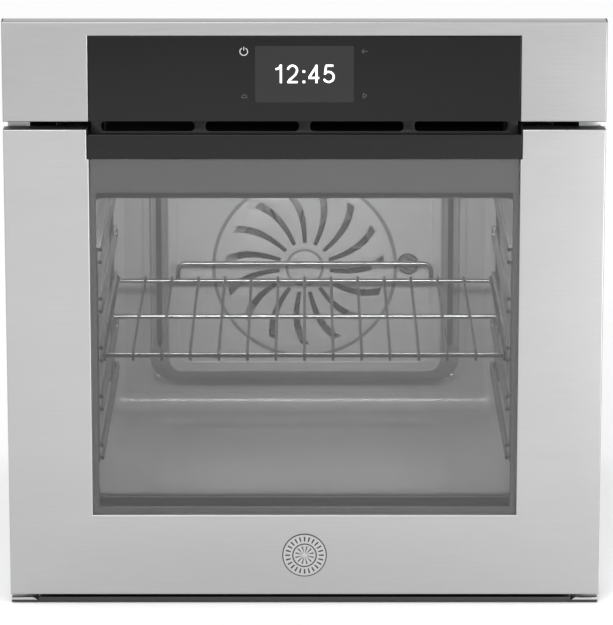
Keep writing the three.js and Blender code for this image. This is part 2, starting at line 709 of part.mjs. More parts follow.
// The sheet metal body, stepped down to the rear.
function casing() {
  const start = FRAME_DEPTH + SKIN + CLEAR;
  const steps = (drop, from) => [
    [from, frontTop - drop],
    [FRONT_STEP - drop, frontTop - drop],
    [FRONT_STEP - drop, middleTop - drop],
    [MIDDLE_STEP - drop, middleTop - drop],
    [MIDDLE_STEP - drop, rearTop - drop],
    [rearFace - SHEET - CLEAR, rearTop - drop],
  ];
  const front = FLANGE_DEPTH + SKIN + CLEAR;
  const under = steps(SHEET + CLEAR, front);
  const rear = rearFace - SHEET - CLEAR;
  const sideShape = polygon([
    [start, BODY_BOTTOM],
    [rear, BODY_BOTTOM],
    ...under.slice().reverse(),
    [front, fasciaBottom + 4],
    [start, fasciaBottom + 4],
  ]);
  piece("side_panel_left", profile(sideShape, -bodyHalf, SHEET - bodyHalf), "bright");
  piece("side_panel_right", profile(sideShape, bodyHalf - SHEET, bodyHalf), "bright");

  const over = steps(0, front);
  const below = steps(SHEET, front);
  const frontCover = polygon([...over.slice(0, 4), ...below.slice(0, 4).reverse()]);
  piece("top_cover_front", profile(frontCover, -bodyHalf, bodyHalf), "bright");
  const rearCover = polygon([
    [MIDDLE_STEP + CLEAR, middleTop],
    [MIDDLE_STEP + CLEAR, rearTop - SHEET],
    [rear, rearTop - SHEET],
    [rear, rearTop],
    [MIDDLE_STEP + CLEAR + SHEET, rearTop],
    [MIDDLE_STEP + CLEAR + SHEET, middleTop],
  ]);
  piece("top_cover_rear", profile(rearCover, -bodyHalf, bodyHalf), "bright");

  const panel = slab(bodyHalf, rearFace - SHEET, rearFace, BODY_BOTTOM, rearTop);
  const vents = Array.from({ length: 9 }, (_, i) => {
    const x = (i - 4) * 44;
    return box(x - 16, x + 16, rearFace - SHEET - 1, rearFace + 1, rearTop - 32, rearTop - 24);
  });
  const hole = GLAND_RADIUS + CLEAR;
  const gland = bar([GLAND_X, rear - 5, glandHeight], [GLAND_X, rearFace + 1, glandHeight], hole, 20);
  piece("rear_panel", cut(panel, ...vents, gland), "bright");

  const pan = slab(bodyHalf - SHEET - CLEAR, start, rear, BODY_BOTTOM + 1, BODY_BOTTOM + 1 + SHEET);
  const runners = [-1, 1].map((side) => {
    const x = side * RUNNER_X;
    const reach = RUNNER_WIDTH / 2;
    const outer = box(x - reach, x + reach, start + 12, rear - 12, 0, BODY_BOTTOM + 1.5);
    return [outer, box(x - reach + SHEET, x + reach - SHEET, start + 13, rear - 13, SHEET, BODY_BOTTOM + 9)];
  });
  const pressed = join(pan, ...runners.map(([outer]) => outer));
  piece("base_pan", cut(pressed, ...runners.map(([, inner]) => inner)), "bright");
}

// The enamelled cavity and the mineral wool round it.
function cavity() {
  const outerShape = roundedRect(
    -cavityHalf - CAVITY_WALL,
    cavityHalf + CAVITY_WALL,
    CAVITY_FLOOR - CAVITY_WALL,
    cavityTop + CAVITY_WALL,
    CAVITY_RADIUS + CAVITY_WALL,
  );
  const innerShape = roundedRect(-cavityHalf, cavityHalf, CAVITY_FLOOR, cavityTop, CAVITY_RADIUS);
  const start = FRAME_DEPTH + SKIN + CLEAR;
  const shell = cut(
    plate(outerShape, start, cavityRear + CAVITY_WALL, 5),
    plate(innerShape, start - 1, cavityRear, 5),
  );
  const through = (x, z, radius) => bar([x, cavityRear - 2, z], [x, cavityRear + 6, z], radius, 12);
  const holes = [
    through(0, fanHeight, SHAFT_RADIUS + 3),
    through(lampX, lampHeight, LAMP_RADIUS + 0.8),
    ...[-1, 1].map((side) => through(side * GRILL_LEAD, grillHeight, ELEMENT_RADIUS + 1)),
    ...[-1, 1].map((side) => through(side * RING_LEAD, ringLeadHeight, ELEMENT_RADIUS + 1)),
  ];
  piece("cavity_liner", cut(shell, ...holes), "enamel");

  const gap = 2;
  const near = cavityHalf + CAVITY_WALL + gap;
  const low = CAVITY_FLOOR - CAVITY_WALL - BOTTOM_SPACE;
  const high = cavityTop + CAVITY_WALL + gap;
  const rear = cavityRear + CAVITY_WALL + 2;
  const back = rear + INSULATION;
  const wool = roundedRect(-near - INSULATION, near + INSULATION, low - INSULATION, high + INSULATION, 25);
  const inside = roundedRect(-near, near, low, high, CAVITY_RADIUS + 4);
  const deep = (x, z, radius) => bar([x, rear - 3, z], [x, back + 3, z], radius, 12);
  const openings = [deep(0, fanHeight, SHAFT_RADIUS + 4), deep(lampX, lampHeight, LAMP_RADIUS + 5)];
  const blanket = cut(plate(wool, start + 3, back, 4), plate(inside, start, rear, 4), ...openings);
  piece("insulation", blanket, "wool");
}

// A box that splays out towards its back.
function hood(halfX, z0, z1, y0, y1) {
  const splay = FAN_COVER_SPLAY;
  const geometry = new THREE.BoxGeometry(2 * halfX, y1 - y0, z1 - z0);
  geometry.translate(0, (y0 + y1) / 2, (z0 + z1) / 2);
  const points = geometry.attributes.position;
  const middle = (z0 + z1) / 2;
  for (let i = 0; i < points.count; i += 1) {
    if (points.getY(i) < (y0 + y1) / 2) continue;
    points.setX(i, points.getX(i) + Math.sign(points.getX(i)) * splay);
    points.setZ(i, points.getZ(i) + Math.sign(points.getZ(i) - middle) * splay * 0.25);
  }
  return solid(geometry);
}

// One curved slot of the swirl, wider towards the rim.
function swirlSlot(angle) {
  const steps = 6;
  const edge = (side) =>
    Array.from({ length: steps + 1 }, (_, i) => {
      const share = i / steps;
      const radius = SWIRL_INNER + (SWIRL_OUTER - SWIRL_INNER) * share;
      const half = SWIRL_HALF * (0.5 + 0.5 * share);
      const a = angle + SWIRL_LEAN * share * share + (side * half) / radius;
      return [radius * Math.cos(a), fanHeight + radius * Math.sin(a)];
    });
  return polygon([...edge(1), ...edge(-1).reverse()]);
}

function fanGroup() {
  const front = cavityRear - FAN_COVER_DEPTH;
  const rim = cavityRear - CLEAR - SKIN;
  const cover = [fanCoverBottom + 6, fanCoverTop - 6];
  const back = rim + SKIN;
  const outer = hood(FAN_COVER_HALF, ...cover, front, back);
  const inner = hood(FAN_COVER_HALF - SKIN, cover[0] + SKIN, cover[1] - SKIN, front + SKIN, back + 0.5);
  const reach = FAN_COVER_HALF + FAN_COVER_SPLAY;
  const rimPlate = cut(
    slab(reach + 8, rim, rim + SKIN, fanCoverBottom - 6, fanCoverTop + 6),
    slab(reach - 1.5, rim - 1, rim + SKIN + 1, cover[0] - 3, cover[1] + 3),
  );
  const swirl = Array.from({ length: SWIRL_SLOTS }, (_, i) => {
    const angle = Math.PI / 2 + (i / SWIRL_SLOTS) * 2 * Math.PI;
    return plate(swirlSlot(angle), front - 1, front + SKIN + 1, 4);
  });
  const outletHeight = (cover[1] - cover[0] - 2 * OUTLET_EDGE - OUTLET_BRIDGE) / 2;
  const outlets = [-1, 1].flatMap((side) =>
    [0, 1].map((level) => {
      const near = side * (FAN_COVER_HALF + 3);
      const far = side * (reach + 3);
      const z0 = cover[0] + OUTLET_EDGE + level * (outletHeight + OUTLET_BRIDGE);
      return box(Math.min(near, far), Math.max(near, far), front + 6, rim - 4, z0, z0 + outletHeight);
    }),
  );
  const lamp = bar([lampX, front - 2, lampHeight], [lampX, front + 4, lampHeight], LAMP_RADIUS + 1, 20);
  piece("fan_cover", cut(join(cut(outer, inner), rimPlate), ...swirl, ...outlets, lamp), "enamel");

  const disc = front + 26;
  const hub = bar([0, front + 8, fanHeight], [0, disc + 1, fanHeight], 9, 16);
  const plateDisc = bar([0, disc, fanHeight], [0, disc + 1, fanHeight], FAN_RADIUS, 36);
  const shaft = bar([0, front + 4, fanHeight], [0, cavityRear + 42, fanHeight], SHAFT_RADIUS, 12);
  const blades = Array.from({ length: FAN_BLADES }, (_, i) => {
    const blade = box(FAN_RADIUS - 30, FAN_RADIUS - 1, front + 9, disc + 0.5, -0.6, 0.6);
    return blade.rotate([0, (i / FAN_BLADES) * 360, 0]).translate([0, 0, fanHeight]);
  });
  piece("convection_fan", join(plateDisc, hub, shaft, ...blades), "bright");

  const motorFront = cavityRear + CAVITY_WALL + INSULATION + 4;
  const can = bar([0, motorFront, fanHeight], [0, motorFront + 42, fanHeight], 30, 24);
  const bore = bar([0, motorFront - 1, fanHeight], [0, motorFront + 20, fanHeight], SHAFT_RADIUS + 0.5, 12);
  const feet = slab(46, motorFront, motorFront + 2, fanHeight - 10, fanHeight + 10);
  piece("fan_motor", cut(join(can, feet), bore), "bright");

  const ring = new THREE.TorusGeometry(ringRadius, ELEMENT_RADIUS, 5, 32);
  ring.rotateX(Math.PI / 2);
  ring.translate(0, front + 18, fanHeight);
  const leads = [-1, 1].map((side) => {
    const x = side * RING_LEAD;
    return bar([x, front + 18, ringLeadHeight], [x, leadEnd, ringLeadHeight], ELEMENT_RADIUS - 0.5, 8);
  });
  piece("ring_element", join(solid(ring), ...leads), "zinc");
}

function elements() {
  const lead = GRILL_LEAD;
  const rows = [lead, 85, 150];
  const rear = cavityRear - 80;
  const front = FRAME_DEPTH + 50;
  const half1 = [
    [lead, leadEnd],
    [lead, front + 40],
    [rows[1], front + 40],
    [rows[1], rear],
    [rows[2], rear],
    [rows[2], front],
  ];
  const right = half1.map(([x, y]) => [x, y, grillHeight]);
  const left = half1.map(([x, y]) => [-x, y, grillHeight]).reverse();
  piece("grill_element", wire(bentPath([...right, ...left], 20), ELEMENT_RADIUS, 5, 96), "zinc");

  const level = CAVITY_FLOOR - CAVITY_WALL - BOTTOM_SPACE / 2;
  const loop = [
    [-110, cavityRear - 20, level],
    [-110, FRAME_DEPTH + 90, level],
    [110, FRAME_DEPTH + 90, level],
    [110, cavityRear - 20, level],
  ];
  piece("bottom_element", wire(bentPath(loop, 40), 3, 5, 36), "zinc");

  const front1 = cavityRear - FAN_COVER_DEPTH - 6;
  const lens = [
    [0, front1],
    [LAMP_RADIUS - 3, front1],
    [LAMP_RADIUS, front1 + 3],
    [LAMP_RADIUS, cavityRear + CAVITY_WALL + 1],
    [LAMP_RADIUS - 2, cavityRear + CAVITY_WALL + 1],
    [LAMP_RADIUS - 2, front1 + 4],
    [0, front1 + 4],
  ];
  piece("lamp_lens", turned(lens, 16).translate([lampX, 0, lampHeight]), "glass");
  const cup = cavityRear + CAVITY_WALL + 1 + CLEAR;
  const holder = bar([lampX, cup, lampHeight], [lampX, cup + 34, lampHeight], LAMP_RADIUS + 2, 20);
  const bulb = bar([lampX, cup - 24, lampHeight], [lampX, cup + 2, lampHeight], 5, 12);
  piece("lamp_holder", join(holder, bulb), "pale");
}

// A turned piece on the Y axis from points of radius and depth.
function turned(points, sides) {
  const geometry = new THREE.LatheGeometry(
    points.map(([r, y]) => new THREE.Vector2(r, y)),
    sides,
  );
  const made = solid(geometry);
  if (made.volume() > 0) return made;
  const reversed = points.slice().reverse();
  return solid(new THREE.LatheGeometry(reversed.map(([r, y]) => new THREE.Vector2(r, y)), sides));
}

// Wire ladders on the side walls carry the rack between two wires of a pair.
function laddersAndRack() {
  [-1, 1].forEach((side) => {
    const x = side * ladderX;
    const postX = side * ladderPostX;
    const low = ladderFirst - 10;
    const high = ladderFirst + (ladderLevels - 1) * LADDER_PITCH + LADDER_PAIR + 8;
    const posts = [ladderFront + 4, ladderRear - 4].flatMap((y) => [
      bar([postX, y, low], [postX, y, high], LADDER_WIRE + 0.2),
      bar([postX, y, low + 4], [side * (cavityHalf - CLEAR), y, low + 4], LADDER_WIRE, 8),
      bar([postX, y, high - 4], [side * (cavityHalf - CLEAR), y, high - 4], LADDER_WIRE, 8),
    ]);
    const guides = Array.from({ length: ladderLevels * 2 }, (_, i) => {
      const z = ladderFirst + Math.floor(i / 2) * LADDER_PITCH + (i % 2) * LADDER_PAIR;
      return bar([x, ladderFront, z], [x, ladderRear, z], LADDER_WIRE, 5);
    });
    piece(side < 0 ? "shelf_ladder_left" : "shelf_ladder_right", join(...posts, ...guides), "chrome");
  });

  const barHeight = ladderFirst + RACK_LEVEL * LADDER_PITCH + LADDER_WIRE + CLEAR + RACK_BAR;
  const wireHeight = barHeight + RACK_BAR + RACK_WIRE - 0.5;
  const reach = ladderPostX - LADDER_WIRE - 0.2 - CLEAR;
  const span = ((RACK_WIRES - 1) / 2) * rackPitch;
  const crossbars = [
    [rackFront, span + RACK_BAR],
    [(rackFront + rackRear) / 2, reach],
    [rackRear, reach],
  ].map(([y, x]) => bar([-x, y, barHeight], [x, y, barHeight], RACK_BAR, 6));
  const front = rackFront - RACK_BAR - RACK_WIRE;
  const wires = Array.from({ length: RACK_WIRES }, (_, i) => {
    const x = i * rackPitch - span;
    const run = bar([x, front, wireHeight], [x, rackRear + 2, wireHeight], RACK_WIRE, 4);
    const tail = bar([x, front, wireHeight - 8], [x, front, wireHeight + 0.8], RACK_WIRE - 0.1, 4);
    return join(run, tail);
  });
  const lipHeight = barHeight + RACK_LIP;
  const lip = bentPath(
    [
      [-RACK_LIP_HALF, rackRear + 1, barHeight],
      [-RACK_LIP_HALF, rackRear + 1, lipHeight],
      [RACK_LIP_HALF, rackRear + 1, lipHeight],
      [RACK_LIP_HALF, rackRear + 1, barHeight],
    ],
    7,
  );
  piece("wire_rack", join(...crossbars, ...wires, wire(lip, RACK_BAR, 5, 30)), "chrome");
}

// The cooling blower, its duct to the grille, and the boards over the cavity.
function cooling() {
  const top = blowerHeight + BLOWER_RADIUS + 5;
  const shell = slab(BLOWER_HALF, BLOWER_DEPTH - 34, BLOWER_DEPTH + 34, ductBottom, top);
  const onAxis = (x0, x1, radius, sides) =>
    bar([x0, BLOWER_DEPTH, blowerHeight], [x1, BLOWER_DEPTH, blowerHeight], radius, sides);
  const room = onAxis(-BLOWER_HALF + 2, BLOWER_HALF - 2, BLOWER_RADIUS + 3, 24);
  const outlet = slab(BLOWER_HALF - 2, BLOWER_DEPTH - 40, BLOWER_DEPTH, ductBottom + SHEET, ductTop - SHEET);
  const intake = slab(BLOWER_HALF - 12, BLOWER_DEPTH - 14, BLOWER_DEPTH + 14, blowerHeight, top + 1);
  const shaftHole = onAxis(BLOWER_HALF - 7, BLOWER_HALF + 3, 5, 12);
  piece("blower_housing", cut(shell, room, outlet, intake, shaftHole), "bright");

  const reach = BLOWER_HALF - 5;
  const end = (x) => onAxis(x, x + 2, BLOWER_RADIUS - 2, 24);
  const shaft = onAxis(-reach, BLOWER_HALF + 18, 2.5, 10);
  const blades = Array.from({ length: BLOWER_BLADES }, (_, i) => {
    const angle = (i / BLOWER_BLADES) * 2 * Math.PI;
    const r = BLOWER_RADIUS - 4;
    const y = BLOWER_DEPTH + r * Math.cos(angle);
    const z = blowerHeight + r * Math.sin(angle);
    return bar([-reach + 1, y, z], [reach - 1, y, z], 1.3, 4);
  });
  piece("blower_drum", join(end(-reach), end(reach - 2), shaft, ...blades), "bright");
  const motor = onAxis(BLOWER_HALF + 8, BLOWER_HALF + 48, BLOWER_RADIUS - 1, 20);
  piece("blower_motor", cut(motor, onAxis(BLOWER_HALF, BLOWER_HALF + 20, 3, 10)), "zinc");

  const ductFront = GRILLE_DEPTH + SKIN + CLEAR;
  const ductRear = BLOWER_DEPTH - 34 - CLEAR;
  const wide = glassHalf - 14;
  const duct = cut(
    slab(wide, ductFront, ductRear, ductBottom, ductTop),
    slab(wide - SHEET, ductFront - 1, ductRear + 1, ductBottom + SHEET, ductTop - SHEET),
  );
  piece("air_duct", duct, "bright");

  const boardZ = ductTop + 12;
  const board = box(-220, -110, 80, 190, boardZ, boardZ + 1.6);
  const relays = [0, 1, 2].map((i) => box(-210 + i * 32, -188 + i * 32, 95, 115, boardZ + 1, boardZ + 18));
  const coil = box(-200, -160, 140, 175, boardZ + 1, boardZ + 26);
  piece("power_board", join(board, ...relays, coil), "board");

  const gland = (y0, y1, radius) => bar([GLAND_X, y0, glandHeight], [GLAND_X, y1, glandHeight], radius, 20);
  const low = glandHeight - 16;
  const block = box(GLAND_X - 30, GLAND_X + 30, rearFace - 60, rearFace - 18, low, low + 32);
  const stem = gland(rearFace - 20, rearFace - CLEAR, GLAND_RADIUS);
  const collar = gland(rearFace - 20, rearFace - 6, GLAND_RADIUS + 4);
  const throat = gland(rearFace - 30, rearFace + 1, GLAND_RADIUS - 4);
  piece("terminal_box", cut(join(block, stem, collar), throat), "black");
}

doorPanel();
doorGlasses();
doorHandle();
doorBadge();
doorTray();
hinge(-1);
hinge(1);
controls();
frontFrame();
casing();
cavity();
fanGroup();
elements();
laddersAndRack();
cooling();

// The origin is under the middle of the oven.
oven.position.y = BADGE_THICK - DEPTH / 2;

export default oven;
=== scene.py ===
import math

import bmesh
import bpy
from mathutils import Matrix, Vector


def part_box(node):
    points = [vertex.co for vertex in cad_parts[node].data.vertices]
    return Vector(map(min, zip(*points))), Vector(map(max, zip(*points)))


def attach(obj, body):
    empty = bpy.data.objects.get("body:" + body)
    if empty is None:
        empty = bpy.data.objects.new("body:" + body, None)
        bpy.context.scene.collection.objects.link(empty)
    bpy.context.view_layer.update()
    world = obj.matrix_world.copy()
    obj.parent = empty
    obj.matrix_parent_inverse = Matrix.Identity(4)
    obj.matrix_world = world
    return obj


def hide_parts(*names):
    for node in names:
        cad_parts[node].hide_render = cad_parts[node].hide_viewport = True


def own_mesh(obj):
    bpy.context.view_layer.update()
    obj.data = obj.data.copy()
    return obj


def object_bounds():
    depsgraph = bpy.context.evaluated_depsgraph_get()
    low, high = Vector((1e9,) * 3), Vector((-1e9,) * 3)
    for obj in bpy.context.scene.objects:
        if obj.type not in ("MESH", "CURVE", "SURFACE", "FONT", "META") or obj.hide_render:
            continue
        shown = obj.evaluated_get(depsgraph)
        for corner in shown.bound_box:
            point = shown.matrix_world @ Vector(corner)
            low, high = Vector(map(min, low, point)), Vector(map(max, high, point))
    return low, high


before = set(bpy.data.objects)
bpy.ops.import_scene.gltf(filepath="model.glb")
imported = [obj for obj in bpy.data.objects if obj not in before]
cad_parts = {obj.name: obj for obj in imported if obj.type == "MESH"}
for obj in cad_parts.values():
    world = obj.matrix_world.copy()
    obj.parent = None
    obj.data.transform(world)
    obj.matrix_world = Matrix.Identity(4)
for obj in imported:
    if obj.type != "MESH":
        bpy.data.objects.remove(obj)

# The room. The oven stands on a pale floor in a white, evenly lit studio, and is seen from
# a little above its middle through a long lens, square to the front.
cad_low, cad_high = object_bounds()
BADGE_STANDS = 0.0008
FRONT = cad_low.y + BADGE_STANDS
MIDDLE = (cad_low.z + cad_high.z) / 2
CAMERA_DISTANCE = 4.154
CAMERA_RISE = math.radians(13.5)
CAMERA_ASIDE = 0.002
LENS = 240.2
AIM_LIFT = 0.0045
SENSOR = 36.0


class Signal:
    """One output of a material node. An expression on it adds Math nodes."""

    def __init__(self, finish, socket):
        self.finish = finish
        self.socket = socket

    def math(self, operation, *values):
        return self.finish.node("ShaderNodeMath", {"operation": operation}, dict(enumerate(values)))

    def __add__(self, other):
        return self.math("ADD", self, other)

    __radd__ = __add__

    def __mul__(self, other):
        return self.math("MULTIPLY", self, other)

    __rmul__ = __mul__

    def __sub__(self, other):
        return self.math("SUBTRACT", self, other)

    def __rsub__(self, other):
        return self.math("SUBTRACT", other, self)

    def __truediv__(self, other):
        return self.math("DIVIDE", self, other)

    def __gt__(self, other):
        return self.math("GREATER_THAN", self, other)

    def __lt__(self, other):
        return self.math("LESS_THAN", self, other)

    def __mod__(self, other):
        return self.math("FLOORED_MODULO", self, other)

    def __abs__(self):
        return self.math("ABSOLUTE", self)


class Finish:
    """A procedural material. Its patterns are measured in metres on the piece."""

    def __init__(self, name):
        self.material = bpy.data.materials.new(name)
        self.material.use_nodes = True
        self.tree = self.material.node_tree
        self.tree.nodes.clear()
        self.end = self.tree.nodes.new("ShaderNodeOutputMaterial")

    def node(self, kind, settings=None, sockets=None, out=0):
        made = self.tree.nodes.new(kind)
        for key, value in (settings or {}).items():
            if key == "stops":
                self.set_stops(made.color_ramp, value)
            else:
                setattr(made, key, value)
        for key, value in (sockets or {}).items():
            self.feed(made.inputs[key], value)
        return Signal(self, made.outputs[out])

    def set_stops(self, ramp, stops):
        while len(ramp.elements) < len(stops):
            ramp.elements.new(0.5)
        for element, (place, colour) in zip(ramp.elements, stops):
            element.position = place
            element.color = colour_of(colour)

    def feed(self, socket, value):
        if isinstance(value, Signal):
            self.tree.links.new(value.socket, socket)
        elif socket.type == "RGBA":
            socket.default_value = colour_of(value)
        else:
            socket.default_value = value

    def place(self, stretch=(1, 1, 1), turn=(0, 0, 0)):
        spot = self.node("ShaderNodeTexCoord", out="Object")
        return self.node("ShaderNodeMapping", None, {"Vector": spot, "Scale": stretch, "Rotation": turn})

    def noise(self, scale, stretch=(1, 1, 1), detail=3.0, rough=0.5):
        sockets = {"Vector": self.place(stretch), "Scale": scale, "Detail": detail, "Roughness": rough}
        return self.node("ShaderNodeTexNoise", None, sockets)

    def cells(self, scale, stretch=(1, 1, 1), out="Distance"):
        return self.node("ShaderNodeTexVoronoi", None, {"Vector": self.place(stretch), "Scale": scale}, out)

    def mix(self, factor, first, second):
        return self.node("ShaderNodeMix", {"data_type": "RGBA"}, {0: factor, 6: first, 7: second}, 2)

    def ramp(self, signal, *stops):
        return self.node("ShaderNodeValToRGB", {"stops": stops}, {0: signal})

    def between(self, signal, low, high):
        span = {"Value": signal, "To Min": low, "To Max": high}
        return self.node("ShaderNodeMapRange", None, span)

    def bump(self, height, distance, strength=1.0):
        sockets = {"Height": height, "Distance": distance, "Strength": strength}
        return self.node("ShaderNodeBump", None, sockets)

    def surface(self, **sockets):
        named = {key.replace("_", " "): value for key, value in sockets.items()}
        self.tree.links.new(self.node("ShaderNodeBsdfPrincipled", None, named).socket, self.end.inputs[0])
        return self.material


def colour_of(value):
    if isinstance(value, (int, float)):
        return (value, value, value, 1.0)
    return tuple(value) + (1.0,) if len(value) == 3 else value


def solid_from(name, build):
    mesh = bpy.data.meshes.new(name)
    shape = bmesh.new()
    build(shape)
    shape.to_mesh(mesh)
    shape.free()
    made = bpy.data.objects.new(name, mesh)
    bpy.context.scene.collection.objects.link(made)
    return made


def pale_floor():
    finish = Finish("studio_floor")
    dust = finish.noise(1.4, detail=2)
    tint = finish.mix(dust, (0.93, 0.93, 0.93), (0.96, 0.96, 0.96))
    return finish.surface(Base_Color=tint, Roughness=0.8)


def floor_sheet(shape):
    reach = 9.0
    corners = [(-reach, -reach), (reach, -reach), (reach, reach), (-reach, reach)]
    shape.faces.new([shape.verts.new((x, y, -0.0006)) for x, y in corners])


floor = solid_from("studio_floor", floor_sheet)
floor.data.materials.append(pale_floor())

world = bpy.data.worlds.new("studio")
world.use_nodes = True
world.node_tree.nodes["Background"].inputs["Color"].default_value = (1.0, 1.0, 1.0, 1.0)
world.node_tree.nodes["Background"].inputs["Strength"].default_value = 1.0
bpy.context.scene.world = world
bpy.context.scene.view_settings.view_transform = "Standard"


def soft_light(name, at, towards, wide, high, watts):
    lamp = bpy.data.lights.new(name, "AREA")
    lamp.shape = "RECTANGLE"
    lamp.size = wide
    lamp.size_y = high
    lamp.energy = watts
    held = bpy.data.objects.new(name, lamp)
    bpy.context.scene.collection.objects.link(held)
    held.location = at
    held.visible_camera = False
    held.rotation_euler = (Vector(towards) - Vector(at)).to_track_quat("-Z", "Y").to_euler()


soft_light("light_cavity", (0, FRONT + 0.07, 0.39), (0, FRONT + 0.41, 0.26), 0.40, 0.05, 2.1)
soft_light("light_front", (-0.7, -3.0, 2.2), (0, 0, 0.3), 1.8, 1.4, 50)
soft_light("light_right", (1.5, -1.6, 0.4), (0.2, -0.2, 0.1), 0.8, 0.6, 18)

eye = bpy.data.cameras.new("camera")
eye.lens = LENS
eye.sensor_width = SENSOR
camera = bpy.data.objects.new("camera", eye)
bpy.context.scene.collection.objects.link(camera)
aim = Vector((CAMERA_ASIDE, FRONT, MIDDLE + AIM_LIFT))
back = Vector((0, -math.cos(CAMERA_RISE), math.sin(CAMERA_RISE)))
camera.location = aim + back * CAMERA_DISTANCE
camera.rotation_euler = (-back).to_track_quat("-Z", "Y").to_euler()
bpy.context.scene.camera = camera

# The door's outer panel. It is one sheet of brushed stainless steel, folded back at its edges
# into a shallow pan, with its middle cut out for the glass and the finger trough above it.
MM = 0.001
panel_low, panel_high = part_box("door_outer_panel")
glass_low, glass_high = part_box("door_glass_outer")
handle_low, handle_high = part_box("door_handle")
GLASS_GAP = 0.4 * MM
FOLD_RADIUS = 1.6 * MM


def rectangle(x0, x1, z0, z1, radius=0.0, steps=6):
    if radius <= 0:
        return [(x0, z0), (x1, z0), (x1, z1), (x0, z1)]
    centres = [(x1 - radius, z0 + radius, -90), (x1 - radius, z1 - radius, 0)]
    centres += [(x0 + radius, z1 - radius, 90), (x0 + radius, z0 + radius, 180)]
    outline = []
    for x, z, start in centres:
        for step in range(steps + 1):
            angle = math.radians(start + 90 * step / steps)
            outline.append((x + radius * math.cos(angle), z + radius * math.sin(angle)))
    return outline


def disc(x, z, radius, sides=40):
    turns = [2 * math.pi * i / sides for i in range(sides)]
    return [(x + radius * math.cos(t), z + radius * math.sin(t)) for t in turns]


FACING = {
    "front": Matrix.Rotation(math.radians(90), 4, "X"),
    "top": Matrix.Identity(4),
    "side": Matrix.Rotation(math.radians(90), 4, "Z") @ Matrix.Rotation(math.radians(90), 4, "X"),
}


def as_mesh(made):
    """The object with its curve or modifiers turned into a plain mesh."""
    bpy.context.view_layer.update()
    shown = made.evaluated_get(bpy.context.evaluated_depsgraph_get())
    mesh = bpy.data.meshes.new_from_object(shown)
    mesh.name = made.name
    plain = bpy.data.objects.new(made.name + "_mesh", mesh)
    bpy.context.scene.collection.objects.link(plain)
    name = made.name
    bpy.data.objects.remove(made)
    plain.name = name
    return plain


def sheet_of(name, outlines, near, far, edge=0.0, facing="front", steps=2):
    """A plate cut to an outline and its holes, with rounded edges, between two depths."""
    curve = bpy.data.curves.new(name, "CURVE")
    curve.dimensions = "2D"
    curve.fill_mode = "BOTH"
    thick = abs(far - near)
    curve.extrude = thick / 2 - edge
    curve.bevel_depth = edge
    curve.bevel_resolution = steps
    curve.offset = -edge
    for outline in outlines:
        spline = curve.splines.new("POLY")
        spline.points.add(len(outline) - 1)
        for point, (a, b) in zip(spline.points, outline):
            point.co = (a, b, 0, 1)
        spline.use_cyclic_u = True
    made = bpy.data.objects.new(name, curve)
    bpy.context.scene.collection.objects.link(made)
    made = as_mesh(made)
    middle = (near + far) / 2
    shift = {"front": (0, middle, 0), "top": (0, 0, middle), "side": (middle, 0, 0)}[facing]
    made.data.transform(Matrix.Translation(shift) @ FACING[facing])
    tidy_mesh(made)
    return made


def tidy_mesh(made):
    """Closes the seams, turns the faces outwards and shades shallow angles smooth."""
    shape = bmesh.new()
    shape.from_mesh(made.data)
    bmesh.ops.remove_doubles(shape, verts=shape.verts, dist=2e-6)
    bmesh.ops.dissolve_degenerate(shape, edges=shape.edges, dist=1e-6)
    bmesh.ops.recalc_face_normals(shape, faces=shape.faces)
    shape.to_mesh(made.data)
    shape.free()
    made.data.shade_smooth()
    made.data.set_sharp_from_angle(angle=math.radians(35))
    made.data.update()


def joined(name, *parts):
    """Several shapes made into one piece."""
    shape = bmesh.new()
    for part in parts:
        part.data.transform(part.matrix_world)
        shape.from_mesh(part.data)
        bpy.data.objects.remove(part)
    made = solid_from(name, lambda whole: None)
    shape.to_mesh(made.data)
    shape.free()
    made.data.shade_smooth()
    made.data.set_sharp_from_angle(angle=math.radians(35))
    return made


def fitted(made, material, body, slot, *nodes):
    made.data.materials.clear()
    made.data.materials.append(material)
    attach(made, body)
    if nodes:
        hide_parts(*nodes)
    return made


def brushed_steel(name, shade=1.0):
    finish = Finish(name)
    grain = (1, 40, 40)
    fine = finish.noise(18, grain, detail=5, rough=0.7)
    broad = finish.noise(7, (0.5, 3, 3), detail=2)
    soft = finish.noise(2.2, detail=1)
    tone = finish.between(fine, 0.72, 1.0) * finish.between(broad, 0.93, 1.04)
    light = finish.mix(tone, (0.18 * shade,) * 3, (0.465 * shade,) * 3)
    rough = finish.between(fine, 0.30, 0.40) + soft * 0.06
    scratch = finish.bump(fine, 0.00004, 0.35)
    return finish.surface(Base_Color=light, Metallic=1.0, Roughness=rough, Normal=scratch)


STEEL = brushed_steel("brushed_stainless")

notch = handle_high.x + GLASS_GAP
opening = glass_high.x + GLASS_GAP
door_outline = [
    (panel_low.x, panel_low.z),
    (panel_high.x, panel_low.z),
    (panel_high.x, panel_high.z),
    (notch, panel_high.z),
    (notch, handle_low.z),
    (opening, handle_low.z),
    (opening, glass_low.z - GLASS_GAP),
    (-opening, glass_low.z - GLASS_GAP),
    (-opening, handle_low.z),
    (-notch, handle_low.z),
    (-notch, panel_high.z),
    (panel_low.x, panel_high.z),
]
ARM_X = (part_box("hinge_arm_right")[0].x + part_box("hinge_arm_right")[1].x) / 2
face = sheet_of("door_panel", [door_outline], FRONT, FRONT + 3.4 * MM, FOLD_RADIUS, steps=4)


def fold_strip(x0, x1, z0, z1, near, far, edge=0.3 * MM):
    return sheet_of("fold", [rectangle(x0, x1, z0, z1)], near, far, edge)


